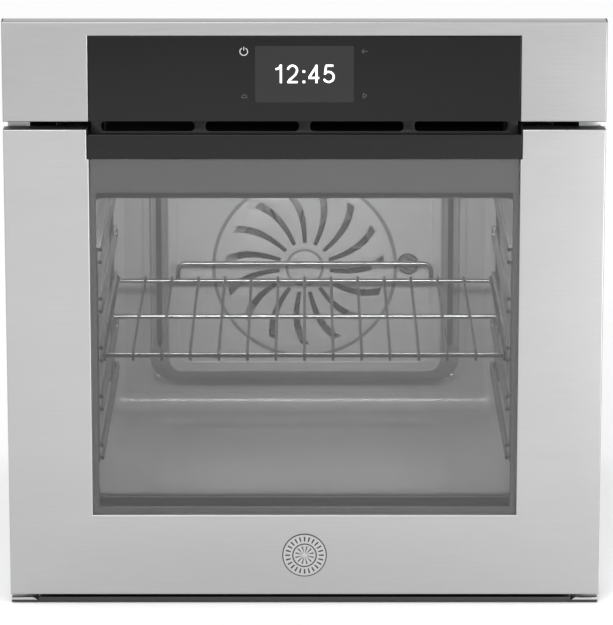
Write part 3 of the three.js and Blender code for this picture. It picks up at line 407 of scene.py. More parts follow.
SHEET = 1.2 * MM
folds = []
for side in (-1, 1):
    outer = sorted((side * panel_high.x, side * (panel_high.x - SHEET)))
    inner = sorted((side * notch, side * (notch + SHEET)))
    folds.append(fold_strip(*outer, panel_low.z, panel_high.z, FRONT + 1.7 * MM, panel_high.y))
    folds.append(fold_strip(*inner, handle_low.z, panel_high.z, FRONT + 1.7 * MM, panel_high.y))
    flat = sorted((side * (ARM_X + 3 * MM), side * panel_high.x))
    folds.append(fold_strip(*flat, panel_low.z, panel_low.z + SHEET, FRONT + 1.7 * MM, panel_high.y))
middle = ARM_X - 3 * MM
folds.append(fold_strip(-middle, middle, panel_low.z, panel_low.z + SHEET, FRONT + 1.7 * MM, panel_high.y))
door_panel = joined("door_panel", face, *folds)
fitted(door_panel, STEEL, "door", "brushed_steel", "door_outer_panel")

# The door's three panes. They are toughened float glass with ground edges. The outer one carries a
# grey printed border round the window and the inner ones are held by clips and a top profile.
WINDOW_X = 207.6 * MM
WINDOW_LOW = 97.6 * MM
WINDOW_HIGH = 423.5 * MM
PRINT_THICK = 0.15 * MM


def door_glass(name, veil, tint, high):
    finish = Finish(name)
    smear = finish.noise(3.0, (1, 1, 0.6), detail=2)
    dust = finish.between(finish.noise(9, detail=2), 0.9, 1.1) * veil
    shade = finish.mix(smear, tint, high)
    rough = finish.between(smear, 0.02, 0.05)
    return finish.surface(Base_Color=shade, Roughness=rough, Alpha=dust, IOR=1.5)


OUTER_GLASS = door_glass("outer_pane_glass", 0.20, (0.12, 0.12, 0.122), (0.15, 0.15, 0.152))
INNER_GLASS = door_glass("inner_pane_glass", 0.04, (0.12, 0.125, 0.125), (0.16, 0.165, 0.165))


def pane(name, node, material, corner):
    low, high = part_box(node)
    outline = rectangle(low.x, high.x, low.z, high.z, corner)
    made = sheet_of(name, [outline], low.y, high.y, 0.5 * MM)
    return fitted(made, material, "door", "door_glass", node)


pane("outer_pane", "door_glass_outer", OUTER_GLASS, 0.8 * MM)
pane("middle_pane", "door_glass_middle", INNER_GLASS, 5 * MM)
pane("inner_pane", "door_glass_inner", INNER_GLASS, 8 * MM)


def print_border():
    finish = Finish("printed_border")
    grain = finish.noise(260, detail=1)
    tone = finish.mix(grain, (0.056, 0.056, 0.057), (0.068, 0.068, 0.069))
    return finish.surface(Base_Color=tone, Roughness=0.4)


border_outline = rectangle(glass_low.x + 0.2 * MM, glass_high.x - 0.2 * MM, glass_low.z, glass_high.z)
window_outline = rectangle(-WINDOW_X, WINDOW_X, WINDOW_LOW, WINDOW_HIGH, 1.0 * MM)
behind = glass_high.y + 0.02 * MM
printed = sheet_of("window_border", [border_outline, window_outline], behind, behind + PRINT_THICK)
fitted(printed, print_border(), "door", "door_glass")

# A thin dark line is printed along the border's inner edge, where the middle pane's own mask shows.
LINE = 1.0 * MM


def line_print():
    finish = Finish("border_line")
    tone = finish.mix(finish.noise(300, detail=1), 0.015, 0.025)
    return finish.surface(Base_Color=tone, Roughness=0.5)


line_inner = rectangle(-WINDOW_X + LINE, WINDOW_X - LINE, WINDOW_LOW + LINE, WINDOW_HIGH - LINE, 0.8 * MM)
line = sheet_of("window_line", [window_outline, line_inner], behind + 0.2 * MM, behind + 0.35 * MM)
fitted(line, line_print(), "door", "door_glass")

# The grip and its trough. The grip is a dark anodised bar across the glass, with rounded upper
# corners and a foot that is screwed down behind it. Fingers reach over it into a black trough.
GRIP_EDGE = 1.0 * MM
GRIP_THICK = 5 * MM
GRIP_FOOT = 3.4 * MM


def anodised():
    finish = Finish("anodised_grip")
    fine = finish.noise(60, (1, 30, 30), detail=3, rough=0.6)
    tone = finish.mix(fine, (0.008, 0.008, 0.0085), (0.014, 0.014, 0.015))
    rough = finish.between(fine, 0.26, 0.36)
    return finish.surface(
        Base_Color=tone,
        Metallic=0.3,
        Specular_IOR_Level=0.25,
        Roughness=rough,
        Normal=finish.bump(fine, 0.00003, 0.3),
    )


def black_plastic(name, shade=0.018, rough=0.5):
    finish = Finish(name)
    grain = finish.noise(900, detail=2)
    wear = finish.noise(12, detail=3)
    tone = finish.mix(wear, (shade,) * 3, (shade * 1.5,) * 3)
    skin = finish.between(grain, rough - 0.06, rough + 0.08)
    return finish.surface(Base_Color=tone, Roughness=skin, Normal=finish.bump(grain, 0.00006, 0.4))


grip_outline = [
    (handle_low.x, handle_low.z),
    (handle_high.x, handle_low.z),
    *rectangle(0, handle_high.x, 0, handle_high.z, 3 * MM)[7:14],
    *rectangle(handle_low.x, 0, 0, handle_high.z, 3 * MM)[14:21],
]
bar_face = sheet_of("door_grip", [grip_outline], FRONT, FRONT + GRIP_THICK, GRIP_EDGE, steps=4)
foot_outline = rectangle(handle_low.x, handle_high.x, handle_low.z, handle_low.z + GRIP_FOOT)
foot = sheet_of("grip_foot", [foot_outline], FRONT + GRIP_THICK - 1 * MM, handle_high.y, 0.3 * MM)
grip = joined("door_grip", bar_face, foot)
fitted(grip, anodised(), "door", "zinc_casting", "door_handle")


def finer(name, node, edge=0.3 * MM, steps=2, angle=38):
    """A copy of a node with its seams merged and its edges rounded."""
    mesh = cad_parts[node].data.copy()
    made = bpy.data.objects.new(name, mesh)
    bpy.context.scene.collection.objects.link(made)
    shape = bmesh.new()
    shape.from_mesh(mesh)
    bmesh.ops.remove_doubles(shape, verts=shape.verts, dist=2e-6)
    limit = math.radians(0.6)
    bmesh.ops.dissolve_limit(shape, angle_limit=limit, verts=shape.verts, edges=shape.edges)
    shape.to_mesh(mesh)
    shape.free()
    mesh.shade_smooth()
    round_off = made.modifiers.new("round_off", "BEVEL")
    round_off.width = edge
    round_off.segments = steps
    round_off.limit_method = "ANGLE"
    round_off.angle_limit = math.radians(angle)
    round_off.use_clamp_overlap = True
    made = as_mesh(made)
    made.data.set_sharp_from_angle(angle=math.radians(35))
    return made


BLACK = black_plastic("moulded_black")
fitted(
    finer("finger_trough_shell", "finger_trough", 0.4 * MM),
    BLACK,
    "door",
    "black_plastic",
    "finger_trough",
)
for side in ("left", "right"):
    cap = f"door_top_cap_{side}"
    fitted(finer(cap + "_piece", cap, 0.5 * MM), BLACK, "door", "black_plastic", cap)
    holder = f"glass_holder_{side}"
    fitted(finer(holder + "_piece", holder, 0.4 * MM), BLACK, "door", "black_plastic", holder)
fitted(
    finer("door_top_profile_piece", "door_top_profile", 0.5 * MM),
    BLACK,
    "door",
    "black_plastic",
    "door_top_profile",
)

# The emblem. It is a small round zinc medallion, glued in the middle of the door's bottom rail. It
# has a band of short marks round a ring and a small rosette, and dark enamel in its hollows.
badge_low, badge_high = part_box("door_badge")
BADGE_MIDDLE = (badge_low.z + badge_high.z) / 2
BADGE_RADIUS = badge_high.x
BADGE_RELIEF = 0.42 * MM
BADGE_FLUTES = 12
BADGE_MARKS = 24


def medallion_height(share, angle):
    if share > 0.955 or 0.50 < share < 0.55:
        return 0.12
    if 0.64 < share < 0.86:
        return 0.2 if math.cos(BADGE_MARKS * angle) > 0.62 else 1.0
    if share < 0.42:
        petal = abs(math.cos(BADGE_FLUTES / 2 * angle))
        return 0.1 + 0.9 * petal if share > 0.10 else 0.9
    return 1.0


def medallion(shape):
    layer = shape.verts.layers.float.new("relief")
    sides = BADGE_MARKS * 8
    shares = [0.02, 0.06, 0.095, 0.105, 0.18, 0.26, 0.34, 0.415, 0.425, 0.46, 0.495, 0.505, 0.545, 0.555]
    shares += [0.60, 0.635, 0.645, 0.72, 0.79, 0.855, 0.865, 0.91, 0.95, 0.96, 0.985, 1.0]
    base = badge_high.y
    top = badge_low.y + BADGE_RELIEF

    def vert(share, angle, depth, relief):
        x = share * BADGE_RADIUS * math.cos(angle)
        z = BADGE_MIDDLE + share * BADGE_RADIUS * math.sin(angle)
        made = shape.verts.new((x, depth, z))
        made[layer] = relief
        return made

    angles = [2 * math.pi * i / sides for i in range(sides)]
    rings = []
    for share in shares:
        ring = []
        for angle in angles:
            rise = medallion_height(share, angle)
            ring.append(vert(share, angle, top - rise * BADGE_RELIEF, rise))
        rings.append(ring)
    rings.append([vert(1.0, angle, base, 0.1) for angle in angles])
    for inner, outer in zip(rings, rings[1:]):
        for i in range(sides):
            j = (i + 1) % sides
            shape.faces.new([inner[i], inner[j], outer[j], outer[i]])
    shape.faces.new(rings[0])
    shape.faces.new(list(reversed(rings[-1])))


def enamelled_zinc():
    finish = Finish("enamelled_zinc")
    relief = finish.node("ShaderNodeAttribute", {"attribute_name": "relief"}, out="Fac")
    speck = finish.noise(900, detail=2)
    tone = finish.ramp(relief, (0.2, 0.03), (0.45, 0.16), (0.8, 0.5))
    tone = finish.mix(finish.between(speck, 0, 0.2), tone, (0.12, 0.12, 0.12))
    bare = finish.between(relief, 0.3, 0.9)
    return finish.surface(Base_Color=tone, Metallic=bare, Roughness=finish.between(speck, 0.3, 0.42))


emblem = solid_from("door_emblem", medallion)
tidy_mesh(emblem)
fitted(emblem, enamelled_zinc(), "door", "zinc_casting", "door_badge")

# The fascia. It is the same brushed sheet as the door, folded back round its edges, with its
# middle cut out from below for the control glass.
fascia_low, fascia_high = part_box("fascia_panel")
control_low, control_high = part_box("control_glass")
cut_x = control_high.x + GLASS_GAP
cut_z = control_high.z + GLASS_GAP
fascia_outline = [
    (fascia_low.x, fascia_low.z),
    (-cut_x, fascia_low.z),
    (-cut_x, cut_z),
    (cut_x, cut_z),
    (cut_x, fascia_low.z),
    (fascia_high.x, fascia_low.z),
    (fascia_high.x, fascia_high.z),
    (fascia_low.x, fascia_high.z),
]
fascia_face = sheet_of("fascia", [fascia_outline], FRONT, FRONT + 3.4 * MM, FOLD_RADIUS, steps=4)
deep = (FRONT + 1.7 * MM, fascia_high.y)
strips = [fold_strip(fascia_low.x, fascia_high.x, fascia_high.z - SHEET, fascia_high.z, *deep)]
for side in (-1, 1):
    outer = sorted((side * fascia_high.x, side * (fascia_high.x - SHEET)))
    strips.append(fold_strip(*outer, fascia_low.z, fascia_high.z, *deep))
    ear = sorted((side * cut_x, side * fascia_high.x))
    strips.append(fold_strip(*ear, fascia_low.z, fascia_low.z + SHEET, *deep))
# The fascia's steel is the door's, painted down to 0.86 of its brightness as painted shade.
fitted(
    joined("fascia", fascia_face, *strips),
    brushed_steel("brushed_fascia", 0.86),
    "root",
    "brushed_steel",
    "fascia_panel",
)

# The control glass. It is black-backed float glass with a touch display behind it, which shows the
# time in plain white figures, and faint symbols on both sides of it.
display_low, display_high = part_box("display_module")


def black_glass():
    finish = Finish("black_backed_glass")
    smear = finish.noise(14, (1, 1, 1.6), detail=3)
    tone = finish.mix(smear, (0.004, 0.004, 0.0044), (0.006, 0.006, 0.0065))
    rough = finish.between(smear, 0.03, 0.09)
    return finish.surface(Base_Color=tone, Roughness=rough, Specular_IOR_Level=0.22, IOR=1.5)


control_outline = rectangle(control_low.x, control_high.x, control_low.z, control_high.z, 0.8 * MM)
control = sheet_of("control_pane", [control_outline], control_low.y, control_high.y, 0.5 * MM)
fitted(control, black_glass(), "root", "control_glass", "control_glass")


def display_face():
    finish = Finish("display_face")
    spot = finish.node("ShaderNodeSeparateXYZ", None, {"Vector": finish.place()}, "Z")
    rows = abs((spot * 2500) % 1.0 - 0.5) * 2
    glow = finish.mix(finish.between(rows, 0.4, 0.6), 0.0165, 0.0195)
    return finish.surface(Base_Color=glow, Roughness=0.16, Specular_IOR_Level=0.22)


SKIN_PRINT = 0.03 * MM
screen = rectangle(display_low.x, display_high.x, display_low.z, display_high.z, 1.2 * MM)
ahead = control_low.y
lit = sheet_of("display_window", [screen], ahead - SKIN_PRINT, ahead + 0.02 * MM)
fitted(lit, display_face(), "root", "display")


def glowing(name, colour, strength):
    finish = Finish(name)
    grain = finish.noise(2200, detail=1)
    tone = finish.mix(grain, tuple(0.94 * c for c in colour), colour)
    return finish.surface(Base_Color=tone, Emission_Color=tone, Emission_Strength=strength, Roughness=0.5)


def ribbon(points, wide):
    """The outline of a flat line of even width along a path."""
    left, right = [], []
    for i, point in enumerate(points):
        before = Vector(points[max(i - 1, 0)])
        after = Vector(points[min(i + 1, len(points) - 1)])
        along = (after - before).normalized()
        side = Vector((-along.y, along.x)) * wide / 2
        left.append(tuple(Vector(point) + side))
        right.append(tuple(Vector(point) - side))
    return left + right[::-1]


def stroke(name, points, wide, ahead_of=0.0):
    """A flat printed line on the control glass."""
    near = ahead - SKIN_PRINT - ahead_of
    return sheet_of(name, [ribbon(points, wide)], near, ahead + 0.01 * MM)


def arc(x, z, radius, start, end, steps=18):
    turns = [math.radians(start + (end - start) * i / steps) for i in range(steps + 1)]
    return [(x + radius * math.cos(t), z + radius * math.sin(t)) for t in turns]


CLOCK_HEIGHT = 18.4 * MM
CLOCK_LOW = 533.8 * MM
CLOCK_LINE = 2.0 * MM
HALF_LINE = CLOCK_LINE / CLOCK_HEIGHT / 2
FIGURES = {
    "1": [[(0.36, 0), (0.36, 1)], [(0.36, 0.98), (0.29, 0.84), (0.20, 0.78), (0.08, 0.755)]],
    "2": [
        [
            *arc(0.275, 0.70, 0.245, 175, -15, 14),
            (0.44, 0.47),
            (0.28, 0.31),
            (0.12, 0.17),
            (0.04, HALF_LINE),
        ],
        [(0, HALF_LINE), (0.55, HALF_LINE)],
    ],
    ":": [[(0.14, 0.0), (0.14, 0.13)], [(0.14, 0.56), (0.14, 0.69)]],
    "4": [[(0.43, 0), (0.43, 0.99)], [(0.43, 0.93), (0.03, 0.30)], [(0, 0.28), (0.57, 0.28)]],
    "5": [
        [(0.52, 1 - HALF_LINE), (0.12, 1 - HALF_LINE)],
        [(0.135, 1 - HALF_LINE), (0.075, 0.46)],
        [(0.075, 0.50), *arc(0.27, 0.335, 0.275, 128, -155, 20)],
    ],
}
CLOCK_PLACES = (("1", -1.62), ("2", -0.915), (":", -0.17), ("4", 0.215), ("5", 1.02))
lines = []
for figure, start in CLOCK_PLACES:
    for path in FIGURES[figure]:
        spot = [((start + a) * CLOCK_HEIGHT, CLOCK_LOW + b * CLOCK_HEIGHT) for a, b in path]
        wide = CLOCK_LINE * (1.25 if figure == ":" else 1.0)
        lines.append(stroke("figure", spot, wide, 0.03 * MM))
fitted(joined("clock_figures", *lines), glowing("clock_white", (0.9, 0.92, 0.95), 0.8), "root", "display")


POWER_X, POWER_Z = -59.6 * MM, 565.2 * MM
power = [
    stroke("symbol", arc(POWER_X, POWER_Z, 3.8 * MM, 120, 420), 0.8 * MM),
    stroke("symbol", [(POWER_X, POWER_Z + 1.2 * MM), (POWER_X, POWER_Z + 4.6 * MM)], 0.8 * MM),
]
fitted(joined("power_symbol", *power), glowing("symbol_light", (0.42, 0.42, 0.43), 0.25), "root", "display")
SIGN_X, SIGN_LOW, SIGN_HIGH = 59.2 * MM, 521.2 * MM, 565.4 * MM
faint = [
    stroke(
        "symbol", [(-SIGN_X - 3 * MM, SIGN_LOW - 2 * MM), (-SIGN_X + 3 * MM, SIGN_LOW - 2 * MM)], 0.6 * MM
    ),
    stroke("symbol", arc(-SIGN_X, SIGN_LOW - 1.4 * MM, 2.4 * MM, 0, 180), 0.6 * MM),
    stroke("symbol", [(SIGN_X - 2.6 * MM, SIGN_HIGH), (SIGN_X + 2.8 * MM, SIGN_HIGH)], 0.6 * MM),
    stroke("symbol", [(SIGN_X - 0.6 * MM, SIGN_HIGH + 2 * MM), (SIGN_X - 2.8 * MM, SIGN_HIGH)], 0.6 * MM),
    stroke("symbol", [(SIGN_X - 0.6 * MM, SIGN_HIGH - 2 * MM), (SIGN_X - 2.8 * MM, SIGN_HIGH)], 0.6 * MM),
    stroke(
        "symbol",
        [(SIGN_X - 1.4 * MM, SIGN_LOW + 2.6 * MM), (SIGN_X - 1.4 * MM, SIGN_LOW - 2.6 * MM)],
        0.6 * MM,
    ),
    stroke("symbol", [(SIGN_X - 1.4 * MM, SIGN_LOW + 2.6 * MM), (SIGN_X + 2.2 * MM, SIGN_LOW)], 0.6 * MM),
    stroke("symbol", [(SIGN_X - 1.4 * MM, SIGN_LOW - 2.6 * MM), (SIGN_X + 2.2 * MM, SIGN_LOW)], 0.6 * MM),
]
fitted(
    joined("touch_symbols", *faint), glowing("symbol_faint", (0.05, 0.05, 0.052), 0.1), "root", "display"
)
fitted(
    finer("control_tray", "control_housing", 0.35 * MM), BLACK, "root", "black_plastic", "control_housing"
)
GRILLE = black_plastic("grille_plastic", 0.022, 0.4)
fitted(finer("air_grille", "cooling_grille", 0.35 * MM), GRILLE, "root", "black_plastic", "cooling_grille")

# The oven's front frame and cavity. Both are pressed from steel sheet and coated with dark grey
# enamel with fine pale specks. The cavity has rounded corners and pressed beds in floor and sides.
liner_low, liner_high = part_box("cavity_liner")
frame_low, frame_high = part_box("front_frame")
WALL = 2 * MM
MOUTH_X = 213 * MM
MOUTH_LOW = 101 * MM
MOUTH_HIGH = 409 * MM
REAR_RADIUS = 18 * MM
CORNER_RADIUS = 20 * MM
PRESS_DEPTH = 1.5 * MM
MESH_STEP = 8 * MM


def enamel(name, depth=1.0):
    finish = Finish(name)
    speck = finish.cells(1100)
    cloud = finish.noise(5, detail=3)
    ripple = finish.noise(160, detail=2)
    # A depth below 1 scales all three enamel shades down; the hood's grooves and air guides use it to paint
    # shade.
    dark, light, fleck = (tuple(c * depth for c in shade) for shade in ENAMEL_SHADES)
    base = finish.mix(cloud, dark, light)
    tone = finish.mix(finish.between(speck, 0.35, 0), base, fleck)
    rough = finish.between(ripple, 0.26, 0.34)
    return finish.surface(
        Base_Color=tone, Roughness=rough, Coat_Weight=0.2, Normal=finish.bump(ripple, 0.00002, 0.2)
    )


ENAMEL_SHADES = ((0.27, 0.27, 0.273), (0.31, 0.31, 0.313), (0.42, 0.42, 0.425))
ENAMEL = enamel("speckled_enamel")


def smooth(share):
    share = min(1.0, max(0.0, share))
    return share * share * (3 - 2 * share)


def pressed_bed(a, b, box_a, box_b, slope=14 * MM):
    """How far inside a rounded bed a point is, from 0 outside to 1 on its flat."""
    middle_a, half_a = sum(box_a) / 2, (box_a[1] - box_a[0]) / 2
    middle_b, half_b = sum(box_b) / 2, (box_b[1] - box_b[0]) / 2
    round_a = max(abs(a - middle_a) - half_a + 40 * MM, 0)
    round_b = max(abs(b - middle_b) - half_b + 40 * MM, 0)
    return smooth((40 * MM - math.hypot(round_a, round_b)) / slope)


inner_x = liner_high.x - WALL
inner_low = liner_low.z + WALL
inner_high = liner_high.z - WALL
wall_y = liner_high.y - WALL


def fine_rectangle(x0, x1, z0, z1, radius):
    """A rounded rectangle with points along its straight sides."""
    corners = rectangle(x0, x1, z0, z1, radius, 5)
    points = []
    for i, start in enumerate(corners):
        stop = corners[(i + 1) % len(corners)]
        long = i % 6 == 5
        pieces = LONG_STEPS if long else 1
        for step in range(pieces):
            share = step / pieces
            points.append(
                (start[0] + (stop[0] - start[0]) * share, start[1] + (stop[1] - start[1]) * share)
            )
    return points


LONG_STEPS = 46


def pressing(x, z, y):
    """The bed's depth at a point of the cavity's wall."""
    side = PRESS_DEPTH * pressed_bed(
        z, y, (inner_low + 40 * MM, inner_high - 30 * MM), (liner_low.y + 40 * MM, wall_y - 45 * MM)
    )
    if z < inner_low + 1 * MM:
        return 0, -1.2 * PRESS_DEPTH * pressed_bed(
            x, y, (-150 * MM, 150 * MM), (liner_low.y + 60 * MM, wall_y - 60 * MM)
        )
    if abs(x) > inner_x - 1 * MM:
        return math.copysign(side * 0.9, x), 0
    return 0, 0


def cavity_walls(shape):
    rows = []
    depth_steps = int((wall_y - REAR_RADIUS - liner_low.y) / MESH_STEP)
    for i in range(depth_steps + 1):
        rows.append((liner_low.y + (wall_y - REAR_RADIUS - liner_low.y) * i / depth_steps, 0))
    for i in range(1, 8):
        turn = math.pi / 2 * i / 7
        rows.append((wall_y - REAR_RADIUS * (1 - math.sin(turn)), REAR_RADIUS * (1 - math.cos(turn))))
    rings = []
    for y, inset in rows:
        outline = fine_rectangle(
            -inner_x + inset,
            inner_x - inset,
            inner_low + inset,
            inner_high - inset,
            CORNER_RADIUS - inset * 0.9,
        )
        ring = []
        for x, z in outline:
            dx, dz = pressing(x, z, y)
            ring.append(shape.verts.new((x + dx, y, z + dz)))
        rings.append(ring)
    count = len(rings[0])
    for front_ring, back_ring in zip(rings, rings[1:]):
        for i in range(count):
            j = (i + 1) % count
            shape.faces.new([front_ring[i], back_ring[i], back_ring[j], front_ring[j]])


def thickened(made, thick, outwards=1.0):
    wall = made.modifiers.new("wall", "SOLIDIFY")
    wall.thickness = thick
    wall.offset = outwards
    made = as_mesh(made)
    made.data.shade_smooth()
    made.data.set_sharp_from_angle(angle=math.radians(40))
    return made


walls = solid_from("cavity", cavity_walls)
shape = bmesh.new()
shape.from_mesh(walls.data)
bmesh.ops.recalc_face_normals(shape, faces=shape.faces)
outward = shape.faces[:][0].normal.dot(shape.faces[:][0].calc_center_median() - Vector((0, 0, 0.25))) > 0
shape.to_mesh(walls.data)
shape.free()
walls = thickened(walls, WALL * 0.9, 1.0 if outward else -1.0)
FAN_Z = 254 * MM
lens_low, lens_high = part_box("lamp_lens")
LAMP_X = (lens_low.x + lens_high.x) / 2
LAMP_Z = (lens_low.z + lens_high.z) / 2
rear_hole = [
    rectangle(
        -inner_x + REAR_RADIUS,
        inner_x - REAR_RADIUS,
        inner_low + REAR_RADIUS,
        inner_high - REAR_RADIUS,
        2 * MM,
    )
]
rear_hole.append(disc(0, FAN_Z, 7 * MM, 24))
rear_hole.append(disc(LAMP_X, LAMP_Z, 11.8 * MM, 32))
ring_low, ring_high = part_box("ring_element")
GRILL_Z = (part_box("grill_element")[0].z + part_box("grill_element")[1].z) / 2
rear_plate = sheet_of("cavity_rear", rear_hole, wall_y, wall_y + WALL * 0.9, 0.1 * MM)
fitted(joined("cavity", walls, rear_plate), ENAMEL, "root", "enamel", "cavity_liner")

mouth = rectangle(-MOUTH_X, MOUTH_X, MOUTH_LOW, MOUTH_HIGH, 12 * MM, 10)
frame_outline = [rectangle(frame_low.x, frame_high.x, frame_low.z, frame_high.z, 2 * MM), mouth]
ARM_SLOT_HALF = 3 * MM
CATCH_X = 240 * MM
CATCH_HALF = 8 * MM
LIP_WIDE = 1.6 * MM
for side in (-1, 1):
    arm_x, catch_x = side * ARM_X, side * CATCH_X
    frame_outline.append(
        rectangle(arm_x - ARM_SLOT_HALF, arm_x + ARM_SLOT_HALF, 11.5 * MM, 30 * MM, 2 * MM)
    )
    frame_outline.append(
        rectangle(catch_x - CATCH_HALF, catch_x + CATCH_HALF, 440 * MM, 446 * MM, 3 * MM)
    )
frame_plate = sheet_of("oven_frame", frame_outline, frame_low.y, frame_high.y, 0.3 * MM)
lip_outer = rectangle(
    -MOUTH_X - LIP_WIDE, MOUTH_X + LIP_WIDE, MOUTH_LOW - LIP_WIDE, MOUTH_HIGH + LIP_WIDE, 13.6 * MM, 10
)
lip = sheet_of("mouth_lip", [lip_outer, mouth], frame_low.y + 0.2 * MM, frame_low.y + 8 * MM, 0.5 * MM)
fitted(joined("oven_frame", frame_plate, lip), ENAMEL, "root", "enamel", "front_frame")

# The door seal is a braided glass-fibre hose round the mouth, hooked into the frame at its corners.
seal_low, seal_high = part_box("door_gasket")


def braid():
    finish = Finish("glass_fibre_braid")
    over = finish.node(
        "ShaderNodeTexWave",
        {"wave_type": "BANDS", "bands_direction": "DIAGONAL"},
        {"Vector": finish.place(), "Scale": 320},
    )
    under = finish.node(
        "ShaderNodeTexWave",
        {"wave_type": "BANDS", "bands_direction": "DIAGONAL"},
        {"Vector": finish.place((-1, 1, 1)), "Scale": 320},
    )
    weave = over * under
    tone = finish.ramp(weave, (0.1, 0.36), (0.7, 0.66))
    return finish.surface(Base_Color=tone, Roughness=0.85, Normal=finish.bump(weave, 0.0005, 0.8))


seal_outer = rectangle(seal_low.x, seal_high.x, seal_low.z, seal_high.z, 22 * MM, 10)
SEAL_WIDE = 8 * MM
seal_inner = rectangle(
    seal_low.x + SEAL_WIDE,
    seal_high.x - SEAL_WIDE,
    seal_low.z + SEAL_WIDE,
    seal_high.z - SEAL_WIDE,
    14 * MM,
    10,
)
seal = sheet_of("door_seal", [seal_outer, seal_inner], seal_low.y, seal_high.y, 1.5 * MM, steps=4)
fitted(seal, braid(), "root", "gasket", "door_gasket")

# The fan cover. It is a pressed and enamelled steel hood, screwed to the cavity's rear wall, with
# curved intake slots round a hub, a pressed ring round them, and outlets in its splayed sides.
COVER_X = 150 * MM
COVER_SPLAY = 20 * MM
COVER_RISE = 15 * MM
COVER_LOW = 136 * MM
COVER_HIGH = 384 * MM
COVER_CORNER = 15 * MM
COVER_SHEET = 1.2 * MM
SLOTS = 15
SLOT_INNER = 27.7 * MM
SLOT_OUTER = 87 * MM
SLOT_LEAN = 0.218
RING_RADIUS = 99.6 * MM
HUB_RADIUS = 19.6 * MM
cover_low, cover_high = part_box("fan_cover")


def intake_slot(start):
    sides = ([], [])
    for step in range(9):
        share = step / 8
        radius = SLOT_INNER + (SLOT_OUTER - SLOT_INNER) * share
        angle = start + SLOT_LEAN * share * share
        half = (2.2 + 2.5 * share) * MM
        for side, sign in zip(sides, (1, -1)):
            side.append(
                (
                    radius * math.cos(angle + sign * half / radius),
                    FAN_Z + radius * math.sin(angle + sign * half / radius),
                )
            )
    return sides[0] + sides[1][::-1]


EDGE_ROUND = 3 * MM
face_outline = rectangle(
    -COVER_X + EDGE_ROUND,
    COVER_X - EDGE_ROUND,
    COVER_LOW + EDGE_ROUND,
    COVER_HIGH - EDGE_ROUND,
    COVER_CORNER - EDGE_ROUND,
    8,
)
intake = [intake_slot(math.pi / 2 + 2 * math.pi * i / SLOTS) for i in range(SLOTS)]
lamp_window = disc(LAMP_X, LAMP_Z, 12 * MM, 32)
GROOVE = 4.0 * MM
HUB_GROOVE = 3.2 * MM
GROOVE_DEEP = 2.2 * MM
ring_out, ring_in = RING_RADIUS + GROOVE / 2, RING_RADIUS - GROOVE / 2
hub_out, hub_in = HUB_RADIUS + HUB_GROOVE / 2, HUB_RADIUS - HUB_GROOVE / 2


def hood_face(outlines, sunk=0.0):
    near = cover_low.y + sunk
    return sheet_of("hood_face", outlines, near, near + COVER_SHEET, 0.15 * MM)


def circle(radius, sides=96):
    return disc(0, FAN_Z, radius, sides)


grooved = [
    hood_face([face_outline, circle(ring_out), lamp_window]),
    hood_face([circle(ring_in), *intake, circle(hub_out, 48)]),
    hood_face([circle(hub_in, 48)]),
]
# The two sunk grooves get the enamel at 0.45 of its shades: painted shade in the grooves.
sunk = [
    hood_face([circle(ring_out + 0.4 * MM), circle(ring_in - 0.4 * MM)], GROOVE_DEEP),
    hood_face([circle(hub_out + 0.4 * MM, 48), circle(hub_in - 0.4 * MM, 48)], GROOVE_DEEP),
]
fitted(joined("hood_grooves", *sunk), enamel("pooled_enamel", 0.45), "root", "enamel")


def half_round_ring(name, outline, rise, wide):
    """A low rounded bead pressed into the hood's face along an outline."""
    def build(shape):
        count = len(outline)
        rings = []
        for i, (x, z) in enumerate(outline):
            before, after = outline[i - 1], outline[(i + 1) % count]
            along = Vector((after[0] - before[0], after[1] - before[1])).normalized()
            across = Vector((along.y, -along.x))
            ring = []
            for step in range(7):
                turn = math.pi * step / 6
                offset = across * (wide / 2 * math.cos(turn))
                ring.append(
                    shape.verts.new(
                        (x + offset.x, cover_low.y + 0.3 * MM - rise * math.sin(turn), z + offset.y)
                    )
                )
            rings.append(ring)
        for i in range(count):
            near, far = rings[i], rings[(i + 1) % count]
            for step in range(6):
                shape.faces.new([near[step], near[step + 1], far[step + 1], far[step]])
            shape.faces.new([near[6], near[0], far[0], far[6]])
    made = solid_from(name, build)
    tidy_mesh(made)
    return made


BEAD_IN = 11 * MM
edge_bead = half_round_ring(
    "bead",
    rectangle(-COVER_X + BEAD_IN, COVER_X - BEAD_IN, COVER_LOW + BEAD_IN, COVER_HIGH - BEAD_IN, 14 * MM, 8),
    0.7 * MM,
    3 * MM,
)


OUTLET_STEPS = 20
OUTLET_END = 22 * MM


def hood_sides(shape):
    deep = cover_high.y - 1.2 * MM
    rows = []
    for step in range(5):
        turn = math.pi / 2 * step / 4
        rows.append(
            (cover_low.y + EDGE_ROUND * (1 - math.cos(turn)), EDGE_ROUND * (1 - math.sin(turn)), 0.0)
        )
    for share in (0.12, 0.3, 0.5, 0.7, 0.88, 1.0):
        rows.append((cover_low.y + EDGE_ROUND + (deep - cover_low.y - EDGE_ROUND) * share, 0, share))
    rings = []
    for y, inset, share in rows:
        grow = COVER_SPLAY * share - inset
        rise = COVER_RISE * share - inset
        turn = COVER_CORNER - inset + 8 * MM * share
        outline = rectangle(-COVER_X - grow, COVER_X + grow, COVER_LOW - rise, COVER_HIGH + rise, turn, 8)
        fuller = []
        for i, start in enumerate(outline):
            stop = outline[(i + 1) % len(outline)]
            pieces = OUTLET_STEPS if i % 9 == 8 else 1
            for k in range(pieces):
                fuller.append(
                    (
                        start[0] + (stop[0] - start[0]) * k / pieces,
                        start[1] + (stop[1] - start[1]) * k / pieces,
                    )
                )
        rings.append([shape.verts.new((x, y, z)) for x, z in fuller])
    count = len(rings[0])
    for row, (near, far) in enumerate(zip(rings, rings[1:])):
        for i in range(count):
            j = (i + 1) % count
            z = (near[i].co.z + near[j].co.z) / 2
            upright = abs(near[j].co.x - near[i].co.x) < 1 * MM
            if 6 <= row <= 8 and upright and COVER_LOW + OUTLET_END < z < COVER_HIGH - OUTLET_END:
                continue
            shape.faces.new([near[i], near[j], far[j], far[i]])


